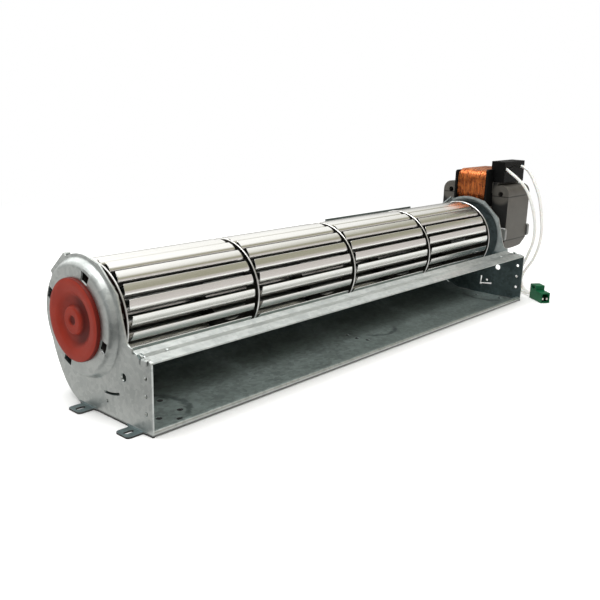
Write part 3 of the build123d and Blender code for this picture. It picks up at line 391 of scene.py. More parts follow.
def dressed(node, finish, body, edge, mark=None, form=None, clamp=False):
    """A node's own shape with rounded edges, in its place. mark gives its faces an attribute,
    form changes the shape."""
    shape = node_shape(node)
    if form:
        form(shape)
    mesh = as_mesh(shape, node)
    if mark:
        mark(mesh)
    piece = finished(f"{node}_dressed", mesh, finish, body, [node])
    return soften(piece, edge, clamp=clamp)


def mark_hollow(mesh):
    """Attribute for painted shade: it tells the sheet's faces that look into the duct from those outside
    it.
    """
    values = mesh.attributes.new("hollow", "FLOAT", "FACE").data
    for value, face in zip(values, mesh.polygons):
        to_axis = Vector((0.0, AXIS.y - face.center.y, AXIS.z - face.center.z))
        inwards = face.normal.dot(to_axis.normalized())
        ends = abs(face.normal.x) > 0.9 and face.normal.x * face.center.x < 0.0
        value.value = 1.0 if inwards > 0.3 or ends else 0.0


def mark_underside(mesh):
    """The same attribute for the strip over the outlet: only its underside looks into the duct."""
    values = mesh.attributes.new("hollow", "FLOAT", "FACE").data
    for value, face in zip(values, mesh.polygons):
        value.value = 1.0 if face.normal.z < -0.5 else 0.0


def polar(radius, degrees, centre=(0.0, 0.0)):
    """Point at this radius and angle about a centre."""
    turn = math.radians(degrees)
    return centre[0] + radius * math.cos(turn), centre[1] + radius * math.sin(turn)


def loft(shape, rows, closed=False):
    """Skins rows of points, each as long as the next."""
    rows = [[shape.verts.new(point) for point in row] for row in rows]
    for first, second in zip(rows, rows[1:]):
        count = len(first)
        for k in range(count if closed else count - 1):
            after = (k + 1) % count
            shape.faces.new((first[k], first[after], second[after], second[k]))


def eased(corners, steps=6):
    """Open line with its corners rounded: a corner is (x, y, how far its bend reaches)."""
    line = [Vector(corners[0][:2])]
    for before, here, after in zip(corners, corners[1:], corners[2:]):
        corner = Vector(here[:2])
        back = Vector(before[:2]) - corner
        on = Vector(after[:2]) - corner
        if here[2] == 0.0:
            line.append(corner)
            continue
        start = corner + back.normalized() * min(here[2], 0.49 * back.length)
        end = corner + on.normalized() * min(here[2], 0.49 * on.length)
        for k in range(steps + 1):
            t = k / steps
            line.append(start * (1 - t) ** 2 + corner * 2 * t * (1 - t) + end * t**2)
    line.append(Vector(corners[-1][:2]))
    return line


def lathe(name, line, x, outward, count=128):
    """Closed line of (distance out of x, radius) turned about the wheel's axis."""
    shape = bmesh.new()
    rows = []
    for out, radius in line:
        ring = [polar(radius, 360.0 * k / count, (AXIS.y, AXIS.z)) for k in range(count)]
        rows.append([(x + outward * out, y, z) for y, z in ring])
    loft(shape, rows, closed=True)
    bmesh.ops.remove_doubles(shape, verts=shape.verts, dist=0.001 * MM)
    bmesh.ops.recalc_face_normals(shape, faces=shape.faces)
    return as_mesh(shape, name)


def block(shape, low, high, matrix):
    """Box between two corners, in the axes of a matrix."""
    low = Vector(low)
    high = Vector(high)
    place = matrix @ Matrix.Translation((low + high) / 2)
    size = Matrix.Diagonal((*(high - low), 1.0))
    bmesh.ops.create_cube(shape, size=1.0, matrix=place @ size)


# Finishes

# Tones of the sheet outside, and its painted shade deep in the duct, beside floor dents and at the floor
ZINC_TONES = ((0.44, 0.47, 0.46), (0.60, 0.625, 0.61))
DEEP_SHADE_ZINC = (0.03, 0.045, 0.045)
DENT_SHADE_ZINC = (0.035, 0.048, 0.048)
CONTACT_SHADE_ZINC = (0.04, 0.042, 0.042)

# Where finishes change: radii about the wheel's axis, places up or back from it, and heights
BLADE_SHADE_R = (27.0 * MM, 28.5 * MM)
DISC_HIGHLIGHT_R = (29.4 * MM, 29.8 * MM)
BOSS_RIM_R = (28.4 * MM, 29.2 * MM)
BOSS_RIM_UP = (-12.0 * MM, -9.0 * MM)
DEEP_HEIGHT = (5.0 * MM, 28.0 * MM)
DEEP_Y = (5.0 * MM, 40.0 * MM)
CONTACT_SHADE_HEIGHT = (1.9 * MM, 0.5 * MM)
DENT_SHADE_HEIGHT = (6.0 * MM, 3.0 * MM)
SUNK_INNER_R = (7.2 * MM, 8.2 * MM)
SUNK_OUTER_R = (14.6 * MM, 11.5 * MM)
SUNK_BACK = (4.0 * MM, -6.0 * MM)
MOUNT_EDGE_R = (21.3 * MM, 21.8 * MM)
EYE_R = (2.9 * MM, 1.9 * MM)
LIT_LOBE_R = (6.5 * MM, 10.5 * MM)

# Painted shade crescents by floor dents, in millimetres: x, y, radius, and the way that each one faces
DENT_SHADES = ((-175.0, -7.0, 23.0, 0.0), (32.0, 4.0, 18.0, -90.0), (187.0, -6.0, 20.0, 180.0))


def zinc_sheet(name, hollow_shade_colour, plate=False):
    """Galvanised sheet: satin, faint grains, rolled along X, with painted shade in the duct and at the
    floor.
    """
    finish = Finish(name, Metallic=1.0)
    grains = finish.crystals(2.2 * MM)
    fine = finish.cloud(0.5 * MM, 4.0)
    rolled = finish.cloud(0.7 * MM, 3.0, (0.02, 1.0, 1.0))
    blotch = finish.cloud(22 * MM, 3.0)
    tone = grains * 0.35 + fine * 0.3 + rolled * 0.2 + blotch * 0.5
    share = tone.step(0.35, 1.0)
    # Painted shade on the faces that look into the duct, lighter and darker at random
    inside_shade = finish.mix(share, hollow_shade_colour, [1.7 * part for part in hollow_shade_colour])
    hollow = finish.attribute("hollow")
    rim = 0.0
    if plate:
        # Round the boss above the outlet the painted shade is weaker, and the plate less metal and rougher
        rim = hollow * boss_rim(finish)
        hollow = hollow * (1.0 - 0.45 * rim)
    else:
        # Painted shade, darker high up and far back in the duct
        inside_shade = finish.mix(duct_depth(finish) * 0.72, inside_shade, DEEP_SHADE_ZINC)
        # Painted shade on one side of each dent in the duct's floor
        inside_shade = finish.mix(dent_shade(finish, fine), inside_shade, DENT_SHADE_ZINC)
    # Painted contact shadow along the sheet's lowest 2 mm, where it meets the floor
    contact_shade = finish.axis(2).step(*CONTACT_SHADE_HEIGHT)
    outside = finish.mix(contact_shade, finish.mix(share, *ZINC_TONES), CONTACT_SHADE_ZINC)
    finish.set("Base Color", finish.mix(hollow, outside, inside_shade))
    finish.set("Roughness", 0.30 + tone * 0.16 + hollow * 0.08 + rim * 0.25)
    finish.set("Metallic", 0.95 - hollow * 0.25 - rim * 0.65)
    finish.bump(fine * 0.4 + rolled * 0.6 + grains * 0.2, 0.02 * MM, 0.35)
    return finish


def duct_depth(finish):
    """Mask of painted shade deep in the duct: 0 at the front of the duct's floor, 1 high up or far back."""
    return finish.axis(2).step(*DEEP_HEIGHT).math("MAXIMUM", finish.axis(1).step(*DEEP_Y))


def boss_rim(finish):
    """Mask of a plate from the foot of its boss outwards, above the outlet, where its painted shade is
    weaker.
    """
    _, up, away = finish.around_axis()
    return away.step(*BOSS_RIM_R) * up.step(*BOSS_RIM_UP)


def dent_shade(finish, fine):
    """Mask of painted shade: crescents on one side of the dents the press left in the duct's floor."""
    marks = fine * 0.0
    uneven = finish.cloud(9 * MM, 3.0)
    for x, y, radius, degrees in DENT_SHADES:
        over_x = finish.axis(0) - x * MM
        over_y = finish.axis(1) - y * MM
        away = (over_x * over_x + over_y * over_y).math("SQRT") + (uneven - 0.5) * (9.0 * MM)
        ring = (away - radius * MM).math("ABSOLUTE").step(3.0 * MM, 0.5 * MM)
        way = polar(1.0, degrees)
        side = (over_x * way[0] + over_y * way[1]).step(0.3 * radius * MM, 0.8 * radius * MM)
        marks = marks.math("MAXIMUM", ring * side * finish.axis(2).step(*DENT_SHADE_HEIGHT))
    return marks * 0.55


def rolled_aluminium():
    """Bright strip with fine lines along X, with painted shade on its part inside the wheel."""
    finish = Finish("rolled_aluminium", Metallic=1.0)
    lines = finish.cloud(0.35 * MM, 3.0, (0.012, 1.0, 1.0))
    broad = finish.cloud(9 * MM, 2.0, (0.15, 1.0, 1.0))
    tone = lines * 0.5 + broad * 0.5
    outer = finish.around_axis()[2].step(*BLADE_SHADE_R)
    rolled = finish.mix(tone, (0.83, 0.82, 0.79), (0.95, 0.945, 0.92))
    # Painted shade: the blade's part inside the wheel is dark
    finish.set("Base Color", finish.mix(outer, (0.07, 0.07, 0.065), rolled))
    finish.set("Roughness", 0.17 + tone * 0.14 + 0.15 * (1.0 - outer))
    finish.bump(lines, 0.012 * MM, 0.35)
    return finish


def disc_aluminium():
    """Stamped disc: faces painted dark as shade, and a painted highlight on its rim."""
    finish = Finish("disc_aluminium", Metallic=1.0)
    rim = finish.around_axis()[2].step(*DISC_HIGHLIGHT_R)
    cloud = finish.cloud(4 * MM, 3.0)
    # Painted shade on the faces and a painted highlight on the rim
    faces = finish.mix(cloud, (0.055, 0.052, 0.046), (0.10, 0.095, 0.085))
    finish.set("Base Color", finish.mix(rim, faces, (0.80, 0.79, 0.77)))
    finish.set("Roughness", 0.30 + cloud * 0.12)
    return finish


def silicone():
    """Red-brown rubber, with painted shade in its sunk ring, most on one side, in its hub's eye and at its
    edge.
    """
    finish = Finish("silicone", Metallic=0.0, IOR=1.41, Specular_IOR_Level=0.22)
    blotch = finish.cloud(7 * MM, 3.0)
    fine = finish.cloud(0.25 * MM, 3.0)
    back, _, away = finish.around_axis()
    # Painted shade: the sunk ring is darker on one side, and the edge and the eye of the hub are darker too
    sunk = away.step(*SUNK_INNER_R) * away.step(*SUNK_OUTER_R) * (0.35 + 0.65 * back.step(*SUNK_BACK))
    edge = away.step(*MOUNT_EDGE_R) * 0.8
    eye = away.step(*EYE_R)
    shade = sunk.math("MAXIMUM", edge).math("MAXIMUM", eye)
    tone = finish.mix(blotch, (0.20, 0.016, 0.007), (0.29, 0.028, 0.014))
    finish.set("Base Color", finish.mix(shade * 0.85, tone, (0.055, 0.004, 0.003)))
    finish.set("Roughness", 0.40 + fine * 0.14)
    finish.bump(fine, 0.03 * MM, 0.4)
    return finish


def plain_metal(name, dark, light, roughness, grain=0.4 * MM, stretch=(1.0, 1.0, 1.0)):
    """Metal with fine grain and broad stains."""
    finish = Finish(name, Metallic=1.0)
    fine = finish.cloud(grain, 3.0, stretch)
    stain = finish.cloud(6 * MM, 3.0)
    finish.set("Base Color", finish.mix(fine * 0.5 + stain * 0.5, dark, light))
    finish.set("Roughness", roughness + fine * 0.12)
    finish.bump(fine, 0.02 * MM, 0.4)
    return finish


# Painted shade lines on the motor frame, and its screw lobes, up and back from the wheel's axis
SHADE_LINES = (-2.6 * MM, 34.5 * MM)
LOBE_BACK = 24.0 * MM
LOBE_UP = 36.5 * MM


def laminations():
    """Oiled electrical steel sheets: brown-grey edges, each sheet its own tone, painted shade lines and end
    faces painted black as shade.
    """
    finish = Finish("laminations")
    sheets = finish.cloud(0.5 * MM, 1.0, (1.0, 0.01, 0.01))
    stain = finish.cloud(9 * MM, 4.0)
    fine = finish.cloud(0.3 * MM, 3.0)
    tone = sheets * 0.45 + stain * 0.4 + fine * 0.2
    back, up, _ = finish.around_axis()
    beside = back.math("ABSOLUTE") - LOBE_BACK
    above = up - LOBE_UP
    to_lobe = (beside * beside + above * above).math("SQRT")
    # Painted shade: the end faces are black, except round the screw lobes, which catch the light
    black = finish.attribute("end") * to_lobe.step(*LIT_LOBE_R)
    edges = finish.mix(tone, (0.068, 0.062, 0.053), (0.165, 0.155, 0.137))
    # Painted shade lines along the chamfer edge and in the groove under the screw lobes
    for line in SHADE_LINES:
        gap = (up - line).math("ABSOLUTE")
        edges = finish.mix(gap.step(0.25 * MM, 0.7 * MM), (0.04, 0.037, 0.033), edges)
    finish.set("Base Color", finish.mix(black, edges, (0.004, 0.004, 0.004)))
    finish.set("Metallic", 0.5 - black * 0.5)
    finish.set("Roughness", 0.38 + fine * 0.2)
    finish.bump(fine, 0.02 * MM, 0.4)
    return finish


def enamelled_wire():
    """Copper wire under clear enamel: each turn its own shade of orange."""
    finish = Finish("enamelled_wire", Metallic=0.85, Coat_Weight=0.35, Coat_Roughness=0.15)
    turns = finish.cloud(0.6 * MM, 2.0, (0.06, 1.0, 0.06))
    stain = finish.cloud(5 * MM, 2.0)
    tone = (turns * 0.7 + stain * 0.4).step(0.30, 0.80)
    finish.set("Base Color", finish.mix(tone, (0.17, 0.022, 0.004), (0.93, 0.30, 0.075)))
    finish.set("Roughness", 0.20 + stain * 0.16)
    return finish


def moulded(name, dark, light, roughness, gloss):
    """Moulded plastic with a fine spark-eroded surface."""
    finish = Finish(name, Metallic=0.0, IOR=1.5, Specular_IOR_Level=gloss)
    cloud = finish.cloud(5 * MM, 3.0)
    fine = finish.cloud(0.2 * MM, 2.0)
    finish.set("Base Color", finish.mix(cloud, dark, light))
    finish.set("Roughness", roughness + fine * 0.15)
    finish.bump(fine, 0.02 * MM, 0.5)
    return finish


def white_insulation():
    """Soft white sleeve of the leads."""
    finish = Finish("white_insulation", Metallic=0.0, IOR=1.45, Subsurface_Weight=0.08)
    blotch = finish.cloud(4 * MM, 3.0)
    finish.set("Base Color", finish.mix(blotch, (0.74, 0.73, 0.69), (0.84, 0.83, 0.80)))
    finish.set("Roughness", 0.42 + blotch * 0.15)
    return finish


# Each sheet's second colour is its painted shade inside the duct
ZINC = zinc_sheet("galvanised_sheet", (0.235, 0.280, 0.270))
PLATE_ZINC = zinc_sheet("galvanised_plate", (0.090, 0.120, 0.123), True)
ALUMINIUM = rolled_aluminium()
DISC = disc_aluminium()
SILICONE = silicone()
BRONZE = plain_metal("sintered_bronze", (0.32, 0.20, 0.10), (0.45, 0.30, 0.16), 0.4)
LAMINATIONS = laminations()
COPPER = plain_metal("bare_copper", (0.62, 0.24, 0.13), (0.80, 0.36, 0.22), 0.25)
WIRE = enamelled_wire()
BLACK = moulded("black_nylon", (0.003, 0.003, 0.003), (0.006, 0.006, 0.006), 0.42, 0.08)
CAST_ZINC = plain_metal("cast_zinc", (0.30, 0.30, 0.30), (0.42, 0.42, 0.41), 0.42, 0.8 * MM)
PLATED = plain_metal("plated_steel", (0.52, 0.52, 0.50), (0.68, 0.68, 0.65), 0.25)
TURNED = plain_metal("turned_steel", (0.46, 0.46, 0.47), (0.60, 0.60, 0.61), 0.2, 0.2 * MM, (4.0, 1.0, 1.0))
TINNED = plain_metal("tinned_brass", (0.58, 0.55, 0.48), (0.72, 0.70, 0.64), 0.25)
WHITE = white_insulation()
GREEN = moulded("green_nylon", (0.002, 0.062, 0.022), (0.006, 0.120, 0.046), 0.34, 0.16)


# Camera, at the photo's view. Its angles are in radians, its lens in millimetres

CAMERA_PLACE = (-0.39867, -0.31153, 0.16126)
CAMERA_YAW = -0.842648
CAMERA_PITCH = 0.259363
CAMERA_ROLL = 0.0262317
CAMERA_LENS = 46.106


def camera():
    """Camera at its place, turned by its yaw, pitch and roll."""
    level_back = math.cos(CAMERA_PITCH)
    back = Vector((math.sin(CAMERA_YAW) * level_back, -math.cos(CAMERA_YAW) * level_back,
                   math.sin(CAMERA_PITCH)))
    level = (-back).cross(Vector((0.0, 0.0, 1.0))).normalized()
    rise = level.cross(-back)
    right = math.cos(CAMERA_ROLL) * level + math.sin(CAMERA_ROLL) * rise
    up = -math.sin(CAMERA_ROLL) * level + math.cos(CAMERA_ROLL) * rise
    turn = Matrix((right, up, back)).transposed().to_4x4()
    data = bpy.data.cameras.new("camera")
    data.lens = CAMERA_LENS
    data.sensor_width = 36.0
    data.clip_start = 0.01
    eye = bpy.data.objects.new("camera", data)
    eye.matrix_world = Matrix.Translation(CAMERA_PLACE) @ turn
    bpy.context.scene.collection.objects.link(eye)
    bpy.context.scene.camera = eye


camera()


# Leads

def lead(name, route):
    """White lead along its route, from the terminal box to the connector."""
    data = bpy.data.curves.new(name, "CURVE")
    data.dimensions = "3D"
    spline = data.splines.new("NURBS")
    spline.points.add(len(route) - 1)
    for point, (x, y, z) in zip(spline.points, route):
        point.co = (MOTOR_FACE + x * MM, y * MM, z * MM, 1.0)
    spline.order_u = 3
    spline.use_endpoint_u = True
    spline.resolution_u = 10
    data.bevel_depth = LEAD_D / 2
    data.bevel_resolution = 5
    data.use_fill_caps = True
    data.materials.append(WHITE.material)
    cord = bpy.data.objects.new(name, data)
    bpy.context.scene.collection.objects.link(cord)
    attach(cord, "duct")
    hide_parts(name)


# Wheel

def blade_section(reach):
    """Points of the first blade about the wheel's axis, from this distance out down to its root."""
    here = Vector(polar(WHEEL_R, FIRST_TIP_ANGLE))
    heading = FIRST_TIP_ANGLE + BLADE_EXIT_ANGLE + 90.0
    line = [here]
    for length, turn in BLADE_RUNS:
        half_step = turn / (2 * RUN_STEPS)
        for _ in range(RUN_STEPS):
            heading += half_step
            here = here + Vector(polar(length / RUN_STEPS, heading))
            heading += half_step
            line.append(here)
    start = next((k for k, point in enumerate(line) if point.length <= reach), 0)
    if start > 0:
        before = line[start - 1]
        share = (before.length - reach) / (before.length - line[start].length)
        start = start - 1 + share
    last = len(line) - 1
    places = [start + (last - start) * k / BLADE_STEPS for k in range(BLADE_STEPS + 1)]
    return [line[int(place)].lerp(line[min(int(place) + 1, last)], place % 1) for place in places]


def blade_stations():
    """Places along the wheel and how far out the blade reaches there: less beside each disc."""
    first = BLADES_LOW.x + BLADE_T + DISC_T / 2
    bay = (BLADES_HIGH.x - BLADES_LOW.x - 2 * BLADE_T - DISC_T) / BAY_COUNT
    corner = [(NOTCH_CORNER * (1 - math.cos(a)), (WHEEL_R - NOTCH_R) * (1 - math.sin(a)))
              for a in (math.radians(15.0 * k) for k in range(7))]
    stations = [(BLADES_LOW.x, NOTCH_R)]
    for k in range(BAY_COUNT):
        low = first + bay * k + NOTCH_HALF_LENGTH
        high = first + bay * (k + 1) - NOTCH_HALF_LENGTH
        stations.append((low - NOTCH_EDGE, NOTCH_R))
        stations += [(low + x, WHEEL_R - cut) for x, cut in corner]
        stations += [(high - x, WHEEL_R - cut) for x, cut in reversed(corner)]
        stations.append((high + NOTCH_EDGE, NOTCH_R))
    stations.append((BLADES_HIGH.x, NOTCH_R))
    return [(x - LEFT_DISC_SHIFT if x < first + bay / 2 else x, reach) for x, reach in stations]


def blade():
    """One blade about the wheel's axis: a curved strip with its end tabs bent over the discs."""
    shape = bmesh.new()
    rows = [[(x, *point) for point in blade_section(reach)] for x, reach in blade_stations()]
    loft(shape, rows)
    bmesh.ops.recalc_face_normals(shape, faces=shape.faces)
    bmesh.ops.solidify(shape, geom=shape.faces[:], thickness=BLADE_T)
    narrow = blade_section(NOTCH_R)
    outer = narrow[0]
    inner = narrow[-1]
    across = (outer - inner).normalized()
    middle = (inner + outer) / 2
    axes = Matrix(((1, 0, 0, 0), (0, across.x, -across.y, middle.x), (0, across.y, across.x, middle.y),
                   (0, 0, 0, 1)))
    top = (outer - middle).length + TAB_OUT
    for x, outward in ((BLADES_LOW.x - LEFT_DISC_SHIFT, 1), (BLADES_HIGH.x, -1)):
        ends = sorted((x, x + outward * BLADE_T))
        block(shape, (ends[0], -TAB_WIDTH / 2, top - TAB_HEIGHT), (ends[1], TAB_WIDTH / 2, top), axes)
    return as_mesh(shape, "blade")


def discs():
    """Flat rings that hold the blades, with rounded rims."""
    for node in ("bearing_end_disc", "support_discs", "motor_end_disc"):
        corners = [vertex.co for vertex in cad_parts[node].data.vertices]
        inner = min(math.hypot(co.y - AXIS.y, co.z - AXIS.z) for co in corners)
        low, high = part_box(node)
        shape = bmesh.new()
        count = round((high.x - low.x - DISC_T) / BAY_LENGTH) + 1
        if node == "bearing_end_disc":
            low.x -= LEFT_DISC_SHIFT
        line = [(0.0, inner), (0.0, WHEEL_R - DISC_ROUND), (DISC_ROUND, WHEEL_R),
                (DISC_T - DISC_ROUND, WHEEL_R), (DISC_T, WHEEL_R - DISC_ROUND), (DISC_T, inner)]
        for k in range(count):
            shape.from_mesh(lathe("ring", line, low.x + BAY_LENGTH * k, 1))
        finished(f"{node}_turned", as_mesh(shape, node), DISC, "rotor", [node])


def wheel():
    """The blades, each a hair off its even place, the discs and what turns with them."""
    blades = grown(blade(), ring_pattern(), ALUMINIUM, Count=BLADE_COUNT, Centre=AXIS,
                   Wobble=math.radians(0.25), Seed=4)
    piece = finished("wheel_blades_rolled", blades, ALUMINIUM, "rotor",
                     ["wheel_blades"])
    soften(piece, BLADE_EDGE, 1, 60.0)
    discs()
    for node in ("stub_shaft", "wheel_hub", "hub_set_screw", "motor_shaft"):
        dressed(node, TURNED, "rotor", 0.15 * MM)
    dressed("rotor_core", LAMINATIONS, "rotor", 0.1 * MM)


# Duct

SHEET_EDGE = 0.16 * MM
TONGUE_EDGE = 0.25 * MM

# Strip over the outlet: its crease and slopes in the solids, then its fold and rear edge here
TONGUE_CREASE_Y = -22.0 * MM
CREASE_BEND = 0.8 * MM
TONGUE_SLOPE = 0.205
TONGUE_REAR_SLOPE = 0.268
TONGUE_FOLD_Y = -27.2 * MM
TONGUE_REAR_Y = -22.0 * MM
TONGUE_DIP = -0.07
# Steps back and up, in millimetres, of the lip at its rear edge
TONGUE_LIP = ((0.3, 0.03), (0.3, 0.10), (3.7, 1.20), (0.3, 0.06), (0.3, -0.04))
# Cuts along the strip, which keep its folds tight
TONGUE_CUTS = (TONGUE_FOLD_Y - 0.4 * MM, TONGUE_FOLD_Y + 0.4 * MM, TONGUE_REAR_Y - 0.3 * MM,
               TONGUE_REAR_Y + 1.0 * MM, TONGUE_REAR_Y + 4.0 * MM)
# Lance, whose size is from its middle outwards, and dimples, in millimetres
LANCE_SIZE = (6.3, 0.6, 0.25)
LANCE_PLACE = (81.5, -25.0, 34.75)
LANCE_TILT = 29.8
DIMPLES = ((-174.0, -24.6, 39.3), (167.7, -24.6, 39.3))
DIMPLE_R = 1.2
DIMPLE_RISE = 0.45

# End plates: where each form starts and ends, and how much of its size is kept
BOSS_HEIGHT = 4.2 * MM
FOOT_OUT = 0.3 * MM
FOOT_TOP = 9.5 * MM
FOOT_NARROWING = 0.66
FOOT_SHORTENING = 0.9
FOOT_SPACING = 42.0 * MM
EAR_IN = 0.3 * MM
EAR_NARROWING = 0.45
HOLE_REACH = 3.2 * MM
# Y and Z of each hole in millimetres, and how much of its size is kept
HOLES = (
    ((-28.8, 29.3), 0.68), ((-28.8, 20.2), 0.68), ((-28.8, 11.1), 0.68), ((-11.0, 25.1), 0.82),
    ((3.7, 8.6), 0.6),
)


def fold_tongue(shape):
    """Brings the strip's crease forward and adds a lip to its rear edge, a lance and two dimples."""
    rear = max(vertex.co.y for vertex in shape.verts)
    front = min(vertex.co.y for vertex in shape.verts)
    for vertex in shape.verts:
        back = vertex.co.y
        behind = back - TONGUE_CREASE_Y
        if behind <= -CREASE_BEND:
            continue
        share = behind / (rear - TONGUE_CREASE_Y)
        vertex.co.y = TONGUE_FOLD_Y + (TONGUE_REAR_Y - TONGUE_FOLD_Y) * share
        lower = TONGUE_SLOPE * (back - front)
        higher = TONGUE_SLOPE * (TONGUE_FOLD_Y - front) + TONGUE_DIP * (vertex.co.y - TONGUE_FOLD_Y)
        bend = (TONGUE_REAR_SLOPE - TONGUE_SLOPE) * max(0.0, behind)
        vertex.co.z += higher - lower - bend
    ends = [face for face in shape.faces if face.normal.y > 0.8 and
            face.calc_center_median().y > TONGUE_REAR_Y - 1.0 * MM]
    edge = max(ends, key=lambda face: face.calc_area())
    for back, up in TONGUE_LIP:
        part = bmesh.ops.extrude_discrete_faces(shape, faces=[edge])
        edge = part["faces"][0]
        bmesh.ops.translate(shape, verts=edge.verts, vec=(0.0, back * MM, up * MM))
    for y in TONGUE_CUTS:
        parts = [*shape.verts, *shape.edges, *shape.faces]
        bmesh.ops.bisect_plane(shape, geom=parts, plane_co=(0.0, y, 0.0), plane_no=(0.0, 1.0, 0.0))
    tilt = Matrix.Rotation(math.radians(LANCE_TILT), 4, "Y")
    size = Vector(LANCE_SIZE) * MM
    block(shape, -size, size, Matrix.Translation(Vector(LANCE_PLACE) * MM) @ tilt)
    for place in DIMPLES:
        flat = Matrix.Translation(Vector(place) * MM) @ Matrix.Diagonal((1.0, 1.0, DIMPLE_RISE, 1.0))
        bmesh.ops.create_uvsphere(shape, u_segments=20, v_segments=10, radius=DIMPLE_R * MM, matrix=flat)


def trim_plate(shape):
    """Draws in the plate's feet, ear and small holes."""
    side = 1.0 if sum(vertex.co.x for vertex in shape.verts) > 0.0 else -1.0
    face = MOTOR_FACE if side > 0.0 else BEARING_FACE
    for vertex in shape.verts:
        out = side * (vertex.co.x - face)
        if vertex.co.z < FOOT_TOP and out > FOOT_OUT:
            centre = math.copysign(FOOT_SPACING / 2, vertex.co.y)
            vertex.co.y = centre + (vertex.co.y - centre) * FOOT_NARROWING
            vertex.co.x = face + side * (FOOT_OUT + (out - FOOT_OUT) * FOOT_SHORTENING)
        if out < -PLATE_T - EAR_IN:
            vertex.co.x = face - side * (PLATE_T - (out + PLATE_T) * EAR_NARROWING)
        for (y, z), share in HOLES:
            away = Vector((vertex.co.y - y * MM, vertex.co.z - z * MM))
            if away.length < HOLE_REACH:
                vertex.co.y = y * MM + away.x * share
                vertex.co.z = z * MM + away.y * share


def duct():
    """Sheet, strip and end plates. The plates' narrowed feet have short edges."""
    dressed("housing_sheet", ZINC, "duct", SHEET_EDGE, mark_hollow)
    dressed("tongue_strip", ZINC, "duct", TONGUE_EDGE, mark_underside, fold_tongue)
    for node in ("bearing_end_plate", "motor_end_plate"):
        dressed(node, PLATE_ZINC, "duct", SHEET_EDGE, mark_hollow, trim_plate, True)


def bearing_mount():
    """Silicone disc: round rim, sunk web, hub with a dimple, and a groove that grips the plate."""
    low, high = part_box("bearing_mount")
    face = BEARING_FACE - BOSS_HEIGHT
    tip = (face - low.x) / MM
    back = (face - high.x) / MM
    # Corners in millimetres: out of the boss, radius, how far the bend reaches
    profile = (
        (1.6, 0.0, 0.0), (1.6, 2.0, 0.5), (tip - 0.1, 3.0, 0.4), (tip, 7.0, 1.0), (0.1, 8.2, 1.0),
        (0.0, 12.8, 1.2), (2.0, 15.4, 1.2), (2.6, 19.5, 1.4), (2.1, 21.9, 0.6), (0.0, 22.0, 0.2),
        (0.0, 19.0, 0.0), (-1.0, 19.0, 0.0), (-1.0, 21.0, 0.2), (-2.8, 20.0, 0.6),
        (-2.8, 16.0, 0.8), (-1.2, 14.5, 0.8), (-1.2, 8.2, 0.6), (back, 8.2, 0.6), (back, 6.1, 0.2),
        (1.4, 6.1, 0.0), (1.4, 0.0, 0.0),
    )
    line = [(out * MM, radius * MM) for out, radius in eased(profile)]
    mesh = lathe("bearing_mount", line, face, -1)
    finished("bearing_mount_moulded", mesh, SILICONE, "duct", ["bearing_mount"], 40.0)
    dressed("bearing_sleeve", BRONZE, "duct", 0.2 * MM)


# Motor

SHEET_STEP = 0.5 * MM
SHEET_FILL = 0.94


def stack():
    """Laminations, each cut to the frame's outline, stacked along X."""
    shape = node_shape("stator_stack")
    others = [face for face in shape.faces if face.normal.x > -0.99 or
              face.calc_center_median().x > STACK_LOW.x + 0.1 * MM]
    bmesh.ops.delete(shape, geom=others, context="FACES")
    bmesh.ops.translate(shape, verts=shape.verts, vec=(-STACK_LOW.x, 0.0, 0.0))
    shape.normal_update()
    bmesh.ops.solidify(shape, geom=shape.faces[:], thickness=-SHEET_FILL * SHEET_STEP)
    count = round((STACK_HIGH.x - STACK_LOW.x) / SHEET_STEP)
    laminated = grown(as_mesh(shape, "lamination"), row_pattern(), LAMINATIONS, Count=count,
                      Start=(STACK_LOW.x, 0.0, 0.0), Step=(SHEET_STEP, 0.0, 0.0))
    values = laminated.attributes.new("end", "FLOAT", "FACE").data
    for value, face in zip(values, laminated.polygons):
        value.value = 1.0 if abs(face.normal.x) > 0.9 else 0.0
    finished("stator_laminations", laminated, LAMINATIONS, "duct",
             ["stator_stack"])
    dressed("core_bar", LAMINATIONS, "duct", 0.15 * MM)
    dressed("shading_rings", COPPER, "duct", 0.3 * MM)


WIRE_R = 0.24 * MM
COIL_CORNER = 7.5 * MM
EVEN_INSET = 2.1 * WIRE_R
LOOSE_INSET = 1.4 * WIRE_R
LOOSE_WIDTH = 0.72
CORE_INSET = 2.5 * WIRE_R


def coil_loop(inset):
    """One turn about the origin: the coil's rounded outline in the XZ plane."""
    half_x = (COIL_HIGH.x - COIL_LOW.x) / 2 - inset
    half_z = (COIL_HIGH.z - COIL_LOW.z) / 2 - inset
    shape = bmesh.new()
    verts = []
    for side_x, side_z, start in ((1, 1, 0.0), (-1, 1, 90.0), (-1, -1, 180.0), (1, -1, 270.0)):
        centre = (side_x * (half_x - COIL_CORNER), side_z * (half_z - COIL_CORNER))
        for k in range(7):
            x, z = polar(COIL_CORNER, start + 15.0 * k, centre)
            verts.append(shape.verts.new((x, 0.0, z)))
    for first, second in zip(verts, [*verts[1:], verts[0]]):
        shape.edges.new((first, second))
    return as_mesh(shape, "turn")


